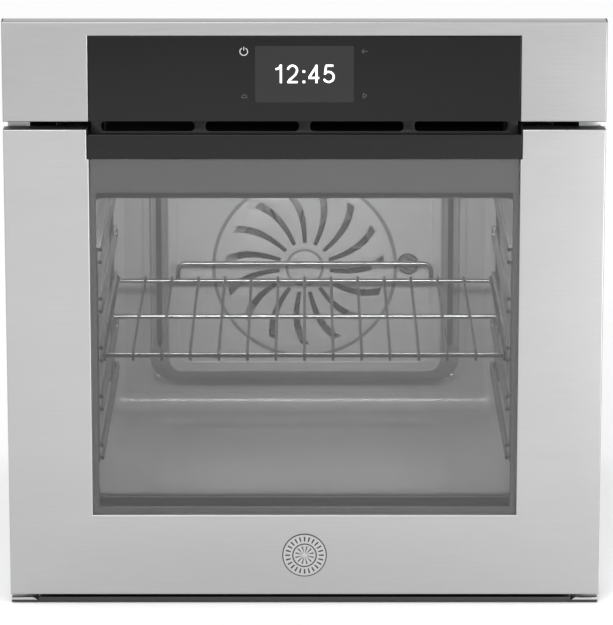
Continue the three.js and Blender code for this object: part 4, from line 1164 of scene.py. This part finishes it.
hood_walls = solid_from("hood_walls", hood_sides)
hood_walls = thickened(hood_walls, COVER_SHEET * 0.8, -1.0)
# The air guides behind the outlets are enamel darkened to 0.3 of its shades: painted shade inside the hood.
air_guides = []
GUIDE_IN = 6 * MM
GUIDE_END = 24 * MM
GUIDE_NEAR = cover_low.y + 9 * MM
GUIDE_FAR = cover_high.y - 2 * MM
for side in (-1, 1):
    inner, outer = COVER_X - GUIDE_IN, COVER_X + COVER_SPLAY - GUIDE_IN
    shape = rectangle(GUIDE_NEAR, GUIDE_FAR, COVER_LOW + GUIDE_END, COVER_HIGH - GUIDE_END, 4 * MM)
    guide = sheet_of("guide", [shape], 0, 0.8 * MM, 0.1 * MM, "side")
    for corner in guide.data.vertices:
        share = (corner.co.y - cover_low.y) / (cover_high.y - cover_low.y)
        corner.co.x = side * (corner.co.x + inner + (outer - inner) * share)
    tidy_mesh(guide)
    air_guides.append(guide)
fitted(joined("hood_guides", *air_guides), enamel("shaded_enamel", 0.3), "root", "enamel")
flange_outer = rectangle(cover_low.x, cover_high.x, cover_low.z, cover_high.z, 30 * MM, 8)
reach_x = COVER_X + COVER_SPLAY - 1 * MM
reach_low = COVER_LOW - COVER_RISE + 1 * MM
reach_high = COVER_HIGH + COVER_RISE - 1 * MM
flange = sheet_of(
    "hood_flange",
    [flange_outer, rectangle(-reach_x, reach_x, reach_low, reach_high, COVER_CORNER + 7 * MM, 8)],
    cover_high.y - 1.2 * MM,
    cover_high.y,
    0.2 * MM,
)
hood = joined("fan_hood", *grooved, edge_bead, hood_walls, flange)
fitted(hood, ENAMEL, "root", "enamel", "fan_cover")

# The hood's screws, and every other screw of the oven. They are pan-head steel screws with a
# cross recess, driven into the pressed sheets where two of them overlap.
GEOMETRY = "NodeSocketGeometry"


def node_tree(name, sockets, build):
    """A Geometry Nodes tree with named inputs, which ends in real geometry and its material."""
    tree = bpy.data.node_groups.new(name, "GeometryNodeTree")
    tree.interface.new_socket("Geometry", in_out="INPUT", socket_type=GEOMETRY)
    for label, kind in sockets.items():
        tree.interface.new_socket(label, in_out="INPUT", socket_type=kind)
    tree.interface.new_socket("Finish", in_out="INPUT", socket_type="NodeSocketMaterial")
    tree.interface.new_socket("Geometry", in_out="OUTPUT", socket_type=GEOMETRY)
    given = tree.nodes.new("NodeGroupInput").outputs

    def node(kind, settings=None, out=0, **links):
        made = tree.nodes.new(kind)
        for key, value in (settings or {}).items():
            setattr(made, key, value)
        for key, value in links.items():
            socket = made.inputs[key.replace("_", " ")]
            if isinstance(value, bpy.types.NodeSocket):
                tree.links.new(value, socket)
            else:
                socket.default_value = value
        return made.outputs[out]

    shape = build(node, given)
    real = node("GeometryNodeRealizeInstances", Geometry=shape)
    painted = node("GeometryNodeSetMaterial", Geometry=real, Material=given["Finish"])
    tree.links.new(painted, tree.nodes.new("NodeGroupOutput").inputs[0])
    return tree


def grown(host, tree, **values):
    """The host object put through a tree, as a plain mesh."""
    grow = host.modifiers.new(tree.name, "NODES")
    grow.node_group = tree
    for item in tree.interface.items_tree:
        if item.in_out == "INPUT" and item.name in values:
            grow[item.identifier] = values[item.name]
    made = as_mesh(host)
    for layer in [a for a in made.data.attributes if a.name in ("turn", "grow")]:
        made.data.attributes.remove(layer)
    made.data.set_sharp_from_angle(angle=math.radians(40))
    return made


def set_out_nodes(node, given):
    unit = node("GeometryNodeObjectInfo", {"transform_space": "ORIGINAL"}, "Geometry", Object=given["Unit"])
    turn = node("GeometryNodeInputNamedAttribute", {"data_type": "FLOAT_VECTOR"}, Name="turn")
    size = node("GeometryNodeInputNamedAttribute", {"data_type": "FLOAT_VECTOR"}, Name="grow")
    return node(
        "GeometryNodeInstanceOnPoints", Points=given["Geometry"], Instance=unit, Rotation=turn, Scale=size
    )


SET_OUT = node_tree("set_out", {"Unit": "NodeSocketObject"}, set_out_nodes)


def set_out(name, unit, places, material):
    """Copies of a unit at many places, each (x, y, z), its turn and its size."""
    mesh = bpy.data.meshes.new(name)
    mesh.from_pydata([place[0] for place in places], [], [])
    for label, index, usual in (("turn", 1, (0, 0, 0)), ("grow", 2, (1, 1, 1))):
        layer = mesh.attributes.new(label, "FLOAT_VECTOR", "POINT")
        for i, place in enumerate(places):
            layer.data[i].vector = place[index] if len(place) > index else usual
    host = bpy.data.objects.new(name, mesh)
    bpy.context.scene.collection.objects.link(host)
    return grown(host, SET_OUT, Unit=unit, Finish=material)


SCREW_RADIUS = 3.6 * MM
SCREW_RISE = 1.9 * MM
SCREW_SIDES = 16


def screw_head(shape):
    """A pan head along -Y, its foot at the origin, with a four-armed recess."""
    profile = [(1.0, 0.0), (1.0, 0.35), (0.86, 0.75), (0.56, 0.95)]
    rings = []
    for share, rise in profile:
        turns = [2 * math.pi * i / SCREW_SIDES for i in range(SCREW_SIDES)]
        radius = share * SCREW_RADIUS
        rings.append(
            [
                shape.verts.new((radius * math.cos(t), -rise * SCREW_RISE, radius * math.sin(t)))
                for t in turns
            ]
        )
    arms = []
    for i in range(SCREW_SIDES):
        turn = 2 * math.pi * i / SCREW_SIDES
        radius = SCREW_RADIUS * (0.46 if i % 4 == 0 else 0.16)
        arms.append((radius * math.cos(turn), radius * math.sin(turn)))
    rings.append([shape.verts.new((x, -SCREW_RISE, z)) for x, z in arms])
    rings.append([shape.verts.new((x * 0.8, -0.45 * SCREW_RISE, z * 0.8)) for x, z in arms])
    for near, far in zip(rings, rings[1:]):
        for i in range(SCREW_SIDES):
            j = (i + 1) % SCREW_SIDES
            shape.faces.new([near[i], near[j], far[j], far[i]])
    shape.faces.new(rings[-1])
    shape.faces.new(list(reversed(rings[0])))


def unit_of(name, build):
    made = solid_from(name, build)
    tidy_mesh(made)
    made.hide_render = True
    made.hide_set(True)
    return made


SCREW = unit_of("screw_unit", screw_head)


def metal(name, dark, light, rough=(0.22, 0.36), grain=140, stretch=(1, 1, 1)):
    finish = Finish(name)
    cloud = finish.noise(grain, stretch, detail=3)
    broad = finish.noise(18, detail=2)
    tone = finish.mix(finish.between(cloud * 0.6 + broad * 0.4, 0.3, 0.7), dark, light)
    skin = finish.between(cloud, *rough)
    return finish.surface(
        Base_Color=tone, Metallic=1.0, Roughness=skin, Normal=finish.bump(cloud, 0.00003, 0.4)
    )


SCREW_STEEL = metal("zinc_plated_screw", (0.42, 0.42, 0.41), (0.62, 0.62, 0.60))
FACING_BACK = (0, 0, math.pi)
FACING_UP = (-math.pi / 2, 0, 0)
hood_screws = []
for x in (-163, 163):
    for z in (123, 397):
        hood_screws.append(((x * MM, cover_high.y - 1.2 * MM, z * MM), (0, 0.4, 0), (0.9,) * 3))
fitted(set_out("hood_screws", SCREW, hood_screws, SCREW_STEEL), SCREW_STEEL, "root", "chrome_wire")
frame_screws = []
for side in (-1, 1):
    for z in (60, 250, 430):
        frame_screws.append(((side * 262 * MM, frame_low.y, z * MM), (0, 0.3, 0), (1, 1, 1)))
fitted(set_out("frame_screws", SCREW, frame_screws, SCREW_STEEL), SCREW_STEEL, "root", "chrome_wire")

# The shelf ladders, the rack and the heating elements. The ladders and the rack are welded from
# chromium-plated steel wire. The elements are bent steel tubes with a heat-tinted skin.


def bent_wire_nodes(node, given):
    path = node("GeometryNodeMeshToCurve", Mesh=given["Geometry"])
    bent = node(
        "GeometryNodeFilletCurve",
        {"mode": "POLY"},
        Curve=path,
        Count=7,
        Radius=given["Bend"],
        Limit_Radius=True,
    )
    ring = node("GeometryNodeCurvePrimitiveCircle", Resolution=given["Sides"], Radius=given["Radius"])
    tube = node("GeometryNodeCurveToMesh", Curve=bent, Profile_Curve=ring, Fill_Caps=True)
    return node("GeometryNodeSetShadeSmooth", Geometry=tube)


WIRE_SOCKETS = {"Radius": "NodeSocketFloat", "Bend": "NodeSocketFloat", "Sides": "NodeSocketInt"}
BENT_WIRE = node_tree("bent_wire", WIRE_SOCKETS, bent_wire_nodes)


def wires(name, paths, radius, bend, material, sides=10, closed=False):
    """Round wires that follow paths of points, rounded at their bends."""
    points, edges = [], []
    for path in paths:
        first = len(points)
        points.extend(path)
        edges.extend((first + i, first + i + 1) for i in range(len(path) - 1))
        if closed:
            edges.append((len(points) - 1, first))
    mesh = bpy.data.meshes.new(name)
    mesh.from_pydata(points, edges, [])
    host = bpy.data.objects.new(name, mesh)
    bpy.context.scene.collection.objects.link(host)
    made = grown(host, BENT_WIRE, Radius=radius, Bend=bend, Sides=sides, Finish=material)
    tidy_mesh(made)
    return made


CHROME = metal("chromium_plate", (0.20, 0.20, 0.20), (0.34, 0.34, 0.34), (0.16, 0.26), 60)
ladder_low, ladder_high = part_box("shelf_ladder_right")
LADDER_WIRE = 2.2 * MM
LADDER_X = ladder_low.x + LADDER_WIRE
POST_X = 210.5 * MM
LADDER_LEVELS = 5
LADDER_FIRST = 136.5 * MM
LADDER_PITCH = 51 * MM
LADDER_PAIR = 13 * MM
for side, name in ((-1, "left"), (1, "right")):
    near, far = ladder_low.y, ladder_high.y
    runs, ties = [], []
    for level in range(LADDER_LEVELS):
        z = LADDER_FIRST + level * LADDER_PITCH
        x = side * LADDER_X
        runs.append(
            [
                (x, near, z),
                (x, far - LADDER_WIRE, z),
                (x, far - LADDER_WIRE, z + LADDER_PAIR),
                (x, near, z + LADDER_PAIR),
            ]
        )
    for y in (near + 4 * MM, far - 5 * MM):
        x = side * POST_X
        ties.append([
            (side * (inner_x - 1 * MM), y, ladder_low.z + 4 * MM),
            (x, y, ladder_low.z + 4 * MM),
            (x, y, ladder_high.z - 4 * MM),
            (side * (inner_x - 1 * MM), y, ladder_high.z - 4 * MM),
        ])
    ladder = joined(
        f"ladder_{name}",
        wires("run", runs, LADDER_WIRE, 5 * MM, CHROME, 8),
        wires("tie", ties, LADDER_WIRE + 0.2 * MM, 3 * MM, CHROME, 10),
    )
    fitted(ladder, CHROME, "root", "chrome_wire", f"shelf_ladder_{name}")

rack_low, rack_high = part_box("wire_rack")
RACK_FRAME = 2.5 * MM
RACK_WIRE = 1.55 * MM
RACK_WIRES = 15
RACK_PITCH = 28.9 * MM
RACK_LIP = 138 * MM
bar_z = rack_low.z + 4.9 * MM
wire_z = bar_z + RACK_FRAME + RACK_WIRE - 0.5 * MM
front_y = rack_low.y + RACK_WIRE * 2 + RACK_FRAME
rear_y = rack_high.y - RACK_FRAME
span = RACK_PITCH * (RACK_WIRES - 1) / 2
reach = rack_high.x
bars = [
    [(-span - 1.2 * MM, front_y, bar_z), (span + 1.2 * MM, front_y, bar_z)],
    [(-reach, (front_y + rear_y) / 2, bar_z), (reach, (front_y + rear_y) / 2, bar_z)],
    [(-reach, rear_y, bar_z), (reach, rear_y, bar_z)],
]
lip_z = rack_high.z - RACK_FRAME
lip = [
    [
        (-RACK_LIP, rear_y, bar_z),
        (-RACK_LIP, rear_y, lip_z),
        (RACK_LIP, rear_y, lip_z),
        (RACK_LIP, rear_y, bar_z),
    ]
]
cross = []
for i in range(RACK_WIRES):
    x = i * RACK_PITCH - span
    start = rack_low.y + RACK_WIRE
    cross.append(
        [(x, start, rack_low.z + RACK_WIRE * 0.3), (x, start, wire_z), (x, rear_y + 1 * MM, wire_z)]
    )
rack = joined(
    "oven_rack",
    wires("bars", bars, RACK_FRAME, 0.0, CHROME, 14),
    wires("lip", lip, RACK_FRAME - 0.1 * MM, 9 * MM, CHROME, 14),
)
fitted(rack, CHROME, "rack", "chrome_wire", "wire_rack")
# The cross wires are the same chromed wire as the frame, painted near black as painted shade.
PAINTED_SHADE_CHROME = metal("drawn_wire", (0.05, 0.05, 0.05), (0.10, 0.10, 0.10), (0.28, 0.4), 60)
fitted(wires("rack_wires", cross, RACK_WIRE, 4 * MM, PAINTED_SHADE_CHROME, 8), PAINTED_SHADE_CHROME, "rack", "chrome_wire")

TINTED = metal("heat_tinted_tube", (0.05, 0.045, 0.05), (0.16, 0.14, 0.13), (0.35, 0.55), 40)
grill_low, grill_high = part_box("grill_element")
TUBE = 3.2 * MM
LEAD_X = 30 * MM
grill_rows = (85 * MM, grill_high.x - TUBE)
grill_front = grill_low.y + TUBE
half_grill = [
    (LEAD_X, grill_high.y),
    (LEAD_X, grill_front + 40 * MM),
    (grill_rows[0], grill_front + 40 * MM),
    (grill_rows[0], wall_y - 80 * MM),
    (grill_rows[1], wall_y - 80 * MM),
    (grill_rows[1], grill_front),
]
grill = [(x, y, GRILL_Z) for x, y in half_grill] + [(-x, y, GRILL_Z) for x, y in reversed(half_grill)]
fitted(wires("grill_tube", [grill], TUBE, 18 * MM, TINTED, 12), TINTED, "root", "element", "grill_element")
base_low, base_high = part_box("bottom_element")
level = (base_low.z + base_high.z) / 2
BASE_TUBE = 2.7 * MM
BASE_BEND = 38 * MM
corner = base_high.x - BASE_TUBE
base_front = base_low.y + 3 * MM
loop = [
    (-corner, base_high.y, level),
    (-corner, base_front, level),
    (corner, base_front, level),
    (corner, base_high.y, level),
]
base_tube = wires("base_tube", [loop], BASE_TUBE, BASE_BEND, TINTED, 12)
fitted(base_tube, TINTED, "root", "element", "bottom_element")
ring_y = ring_low.y + TUBE
ring_path = [
    (ring_high.x - TUBE) * Vector((math.cos(t), 0, math.sin(t)))
    for t in (2 * math.pi * i / 72 for i in range(72))
]
ring_path = [(p.x, ring_y, FAN_Z + p.z) for p in ring_path]
LEAD_X = 40 * MM
lead_z = ring_low.z + 14 * MM
ring_leads = [
    [(side * LEAD_X, ring_y, lead_z), (side * LEAD_X, ring_high.y, lead_z)] for side in (-1, 1)
]
ring = joined(
    "ring_tube",
    wires("ring", [ring_path], TUBE, 0.0, TINTED, 12, True),
    wires("lead", ring_leads, TUBE - 0.5 * MM, 0.0, TINTED, 10),
)
fitted(ring, TINTED, "root", "element", "ring_element")

# The convection fan is stamped from steel sheet: a disc with a folded blade every few degrees,
# pressed on a hub. Its shaft runs through the cavity's rear wall from a small motor.
fan_low, fan_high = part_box("convection_fan")
FAN_RADIUS = fan_high.x
FAN_BLADES = 24
# The fan's steel is painted far darker than bare steel, as painted shade behind the hood's slots; the
# springs and blower wheel share it.
FAN_STEEL = metal("fan_steel", (0.05, 0.05, 0.05), (0.12, 0.12, 0.115), (0.25, 0.4), 90)
disc_y = cover_low.y + 26 * MM


def fan_blade(shape):
    """One blade, its foot on the disc's rim, curved along its length and leaning forwards."""
    long, rise, thick = 28 * MM, 16.4 * MM, 0.9 * MM
    steps = 6
    rows = []
    for i in range(steps + 1):
        share = i / steps
        bow = 4.5 * MM * share * share
        x = -long * share
        high = rise * (1 - 0.35 * share)
        rows.append(
            [
                (x, 0, bow),
                (x, -high, bow + 1.5 * MM),
                (x, -high, bow + 1.5 * MM + thick),
                (x, 0, bow + thick),
            ]
        )
    rings = [[shape.verts.new(point) for point in row] for row in rows]
    for near, far in zip(rings, rings[1:]):
        for k in range(4):
            shape.faces.new([near[k], near[(k + 1) % 4], far[(k + 1) % 4], far[k]])
    shape.faces.new(rings[0])
    shape.faces.new(rings[-1])


blade = unit_of("blade_unit", fan_blade)
places = []
for i in range(FAN_BLADES):
    turn = 2 * math.pi * i / FAN_BLADES
    radius = FAN_RADIUS - 1.6 * MM
    places.append(
        ((radius * math.cos(turn), disc_y + 0.2 * MM, FAN_Z + radius * math.sin(turn)), (0, -turn, 0))
    )
blades = set_out("blades", blade, places, FAN_STEEL)
fan_disc = sheet_of("fan_disc", [disc(0, FAN_Z, FAN_RADIUS, 72)], disc_y, disc_y + 1 * MM, 0.3 * MM)
hub = sheet_of(
    "fan_hub", [disc(0, FAN_Z, 9 * MM, 32)], fan_low.y + 4 * MM, disc_y + 0.5 * MM, 1.2 * MM, steps=3
)
nut = sheet_of("fan_nut", [disc(0, FAN_Z, 5 * MM, 6)], fan_low.y, fan_low.y + 5 * MM, 0.5 * MM)
shaft = sheet_of("fan_shaft", [disc(0, FAN_Z, 3.5 * MM, 24)], disc_y, fan_high.y, 0.4 * MM)
fan = joined("oven_fan", blades, fan_disc, hub, nut, shaft)
fitted(fan, FAN_STEEL, "fan", "galvanised_steel", "convection_fan")

# The door's inner tray and its hinges. The tray is enamelled sheet, screwed to the outer panel
# round its edge. Each hinge is a folded steel channel with a rod and a coil spring inside it.


def painted(node, material):
    """Gives a node of the frame its finish."""
    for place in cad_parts[node].material_slots:
        place.material = material


def galvanised():
    finish = Finish("galvanised_sheet")
    flakes = finish.cells(70, out="Color")
    edges = finish.cells(70)
    fine = finish.noise(400, detail=2)
    tone = finish.mix(finish.between(edges, 0.0, 0.9), flakes, (0.5, 0.5, 0.5))
    grey = finish.node("ShaderNodeRGBToBW", None, {0: tone})
    sheet = finish.mix(grey, (0.36, 0.37, 0.38), (0.62, 0.63, 0.64))
    rough = finish.between(grey, 0.34, 0.5)
    return finish.surface(
        Base_Color=sheet, Metallic=1.0, Roughness=rough, Normal=finish.bump(fine, 0.00005, 0.3)
    )


GALVANISED = galvanised()
tray_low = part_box("door_inner_tray")[0]
tray = finer("inner_tray", "door_inner_tray", 0.5 * MM)
fitted(tray, ENAMEL, "door", "enamel", "door_inner_tray")
tray_screws = []
for side in (-1, 1):
    for z in (40, 440):
        tray_screws.append(((side * 250 * MM, tray_low.y + SHEET, z * MM), FACING_BACK, (0.7, 0.7, 0.7)))
fitted(set_out("tray_screws", SCREW, tray_screws, SCREW_STEEL), SCREW_STEEL, "door", "chrome_wire")

SPRING_WIRE = 1.1 * MM
SPRING_TURNS = 24
for side in ("left", "right"):
    housing = finer(f"hinge_channel_{side}", f"hinge_housing_{side}", 0.35 * MM)
    fitted(housing, GALVANISED, "door", "galvanised_steel", f"hinge_housing_{side}")
    arm = finer(f"hinge_arm_{side}_piece", f"hinge_arm_{side}", 0.3 * MM)
    fitted(arm, GALVANISED, "root", "galvanised_steel", f"hinge_arm_{side}")
    rod = finer(f"hinge_rod_{side}_piece", f"hinge_rod_{side}", 0.2 * MM)
    fitted(rod, GALVANISED, f"rod_{side}", "galvanised_steel", f"hinge_rod_{side}")
    low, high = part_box(f"hinge_spring_{side}")
    centre = (low + high) / 2
    turns = SPRING_TURNS * 14
    coil_radius = (high.y - low.y) / 2 - SPRING_WIRE
    coil = []
    for i in range(turns + 1):
        turn = 2 * math.pi * i / 14
        z = low.z + SPRING_WIRE + (high.z - low.z - 2 * SPRING_WIRE) * i / turns
        coil.append((centre.x + coil_radius * math.cos(turn), centre.y + coil_radius * math.sin(turn), z))
    spring = wires(f"hinge_coil_{side}", [coil], SPRING_WIRE, 0.0, FAN_STEEL, 6)
    fitted(spring, FAN_STEEL, "door", "galvanised_steel", f"hinge_spring_{side}")
    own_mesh(spring)

# The casing. Its sides, covers, back and base are galvanised sheet, folded and screwed together,
# stiffened by pressed fields, and cut with louvres where the air goes in and out.
PRESS_RISE = 1.1 * MM


def pressed_field(a0, a1, b0, b1, at, out, facing, radius=14 * MM):
    """A raised, rounded field on a sheet's outer face."""
    return sheet_of(
        "field",
        [rectangle(a0, a1, b0, b1, radius, 6)],
        at,
        at + out * PRESS_RISE,
        PRESS_RISE * 0.42,
        facing,
        3,
    )


for side, sign in (("left", -1), ("right", 1)):
    node = f"side_panel_{side}"
    low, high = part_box(node)
    outer = high.x if sign > 0 else low.x
    fields = [
        pressed_field(*reach, *rise, outer, sign, "side")
        for reach in ((low.y + 40 * MM, low.y + 235 * MM), (low.y + 265 * MM, high.y - 40 * MM))
        for rise in ((60 * MM, 215 * MM), (245 * MM, 440 * MM))
    ]
    fitted(
        joined(f"casing_{side}", finer("sheet", node, 0.3 * MM), *fields),
        GALVANISED,
        "root",
        "galvanised_steel",
        node,
    )
    spots = []
    for y, z in ((35, 40), (35, 250), (35, 470), (280, 25), (530, 25), (530, 250), (530, 470), (280, 480)):
        spots.append(((outer, FRONT + y * MM, z * MM), (0, 0, sign * math.pi / 2), (1, 1, 1)))
    fitted(set_out(f"casing_screws_{side}", SCREW, spots, SCREW_STEEL), SCREW_STEEL, "root", "chrome_wire")
    flange_node = f"side_flange_{side}"
    fitted(
        finer(f"fixing_flange_{side}", flange_node, 0.3 * MM),
        GALVANISED,
        "root",
        "galvanised_steel",
        flange_node,
    )

for part in ("front", "rear"):
    node = f"top_cover_{part}"
    low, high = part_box(node)
    top = high.z
    back = FRONT + 140 * MM if part == "front" else high.y
    fields = [
        pressed_field(
            side * 130 * MM - 95 * MM,
            side * 130 * MM + 95 * MM,
            low.y + 22 * MM,
            back - 18 * MM,
            top,
            1,
            "top",
            10 * MM,
        )
        for side in (-1, 1)
        if part == "front"
    ]
    cover = joined(f"cover_{part}", finer("sheet", node, 0.3 * MM), *fields)
    fitted(cover, GALVANISED, "root", "galvanised_steel", node)

front_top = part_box("top_cover_front")[1]
middle_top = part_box("top_cover_rear")[1].z
spots = []
for x in (-262, 0, 262):
    spots.append(((x * MM, FRONT + 50 * MM, front_top.z), FACING_UP, (1, 1, 1)))
    spots.append(((x * MM, front_top.y - 12 * MM, middle_top), FACING_UP, (0.8, 0.8, 0.6)))
fitted(set_out("cover_screws", SCREW, spots, SCREW_STEEL), SCREW_STEEL, "root", "chrome_wire")

rear_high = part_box("rear_panel")[1]
BACK_FIELD_X = 240 * MM
fields = [
    pressed_field(-BACK_FIELD_X, BACK_FIELD_X, bottom, top, rear_high.y, 1, "front")
    for bottom, top in ((60 * MM, 180 * MM), (330 * MM, 430 * MM))
]
back_sheet = joined("casing_back", finer("sheet", "rear_panel", 0.3 * MM), *fields)
fitted(back_sheet, GALVANISED, "root", "galvanised_steel", "rear_panel")
spots = []
for x in (-268, -90, 90, 268):
    for z in (24 * MM, rear_high.z - 9 * MM):
        spots.append(((x * MM, rear_high.y, z), FACING_BACK, (1, 1, 1)))
for side in (-1, 1):
    for z in (160, 330):
        spots.append(((side * 268 * MM, rear_high.y, z * MM), FACING_BACK, (1, 1, 1)))
fitted(set_out("back_screws", SCREW, spots, SCREW_STEEL), SCREW_STEEL, "root", "chrome_wire")

for node in ("base_pan", "fascia_support", "blower_housing"):
    fitted(finer(node + "_piece", node, 0.3 * MM), GALVANISED, "root", "galvanised_steel", node)
# The galvanised air duct is painted near black: painted shade seen through the grille's slots.
DUCT_PAINTED_SHADE = black_plastic("blackened_duct", 0.006, 0.7)
fitted(finer("cooling_duct", "air_duct", 0.3 * MM), DUCT_PAINTED_SHADE, "root", "galvanised_steel", "air_duct")
fitted(
    finer("blower_wheel", "blower_drum", 0.15 * MM),
    FAN_STEEL,
    "blower",
    "galvanised_steel",
    "blower_drum",
)
fitted(finer("terminal_cover", "terminal_box", 0.8 * MM, 3), BLACK, "root", "black_plastic", "terminal_box")

# The trim below the door. A black folded strip closes the gap over the base, and a polished steel
# clip covers each of its ends.
TRIM_BLACK = black_plastic("painted_trim", 0.012, 0.38)
fitted(finer("base_trim", "bottom_trim", 0.3 * MM), TRIM_BLACK, "root", "black_trim", "bottom_trim")
POLISHED = metal("polished_clip", (0.42, 0.42, 0.42), (0.55, 0.55, 0.55), (0.28, 0.36), 40)
CLIP_FOOT = 2.3 * MM
CLIP_SLANT = 4.5 * MM
for side, sign in (("left", -1), ("right", 1)):
    low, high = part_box(f"trim_end_{side}")
    end, inner = (low.x, high.x) if sign < 0 else (high.x, low.x)
    corners = [
        (end, low.z + CLIP_FOOT),
        (inner, low.z + CLIP_FOOT),
        (inner + sign * CLIP_SLANT, high.z),
        (end, high.z),
    ]
    clip = sheet_of(f"trim_clip_{side}", [corners], low.y, high.y, 0.3 * MM)
    fitted(clip, POLISHED, "root", "bright_trim", f"trim_end_{side}")
    strip = rectangle(min(end, inner), max(end, inner), low.z, low.z + CLIP_FOOT - 0.2 * MM)
    fitted(
        sheet_of(f"trim_strip_{side}", [strip], low.y, high.y, 0.2 * MM), TRIM_BLACK, "root", "black_trim"
    )

# What lies inside the casing: the mineral wool blanket, the circuit boards, the motors and the
# lamp with its ribbed glass cover.


def wool():
    finish = Finish("mineral_wool")
    fibre = finish.noise(120, (1, 5, 1), detail=6, rough=0.7)
    clump = finish.noise(22, detail=4)
    tone = finish.mix(fibre * 0.7 + clump * 0.3, (0.45, 0.42, 0.33), (0.78, 0.75, 0.66))
    return finish.surface(Base_Color=tone, Roughness=0.95, Normal=finish.bump(fibre, 0.002, 0.8))


def circuit_board():
    finish = Finish("circuit_board")
    tracks = finish.node(
        "ShaderNodeTexBrick",
        None,
        {"Vector": finish.place(turn=(math.pi / 2, 0, 0)), "Scale": 90, "Mortar Size": 0.06},
    )
    tone = finish.mix(tracks, (0.01, 0.10, 0.04), (0.03, 0.22, 0.09))
    return finish.surface(Base_Color=tone, Roughness=0.35, Coat_Weight=0.3)


def ceramic():
    finish = Finish("lamp_ceramic")
    pore = finish.noise(300, detail=3)
    tone = finish.mix(pore, (0.72, 0.70, 0.66), (0.85, 0.84, 0.80))
    return finish.surface(Base_Color=tone, Roughness=0.5, Normal=finish.bump(pore, 0.0001, 0.4))


def lamp_glass():
    finish = Finish("lamp_glass")
    ribs = finish.node(
        "ShaderNodeTexWave",
        {"wave_type": "RINGS", "rings_direction": "Y"},
        {"Vector": finish.place(), "Scale": 60},
    )
    tone = finish.mix(ribs, (0.05, 0.05, 0.052), (0.12, 0.12, 0.122))
    return finish.surface(
        Base_Color=tone, Roughness=0.12, Alpha=0.85, Normal=finish.bump(ribs, 0.0003, 0.4)
    )


painted("insulation", wool())
BOARD = circuit_board()
painted("control_board", BOARD)
painted("power_board", BOARD)
MOTOR = metal("motor_can", (0.30, 0.30, 0.30), (0.46, 0.46, 0.45), (0.35, 0.5), 120)
painted("blower_motor", MOTOR)
painted("fan_motor", MOTOR)
painted("lamp_holder", ceramic())
painted("display_module", lit.data.materials[0])
fitted(finer("lamp_cover", "lamp_lens", 0.5 * MM, 3), lamp_glass(), "root", "lamp_glass", "lamp_lens")
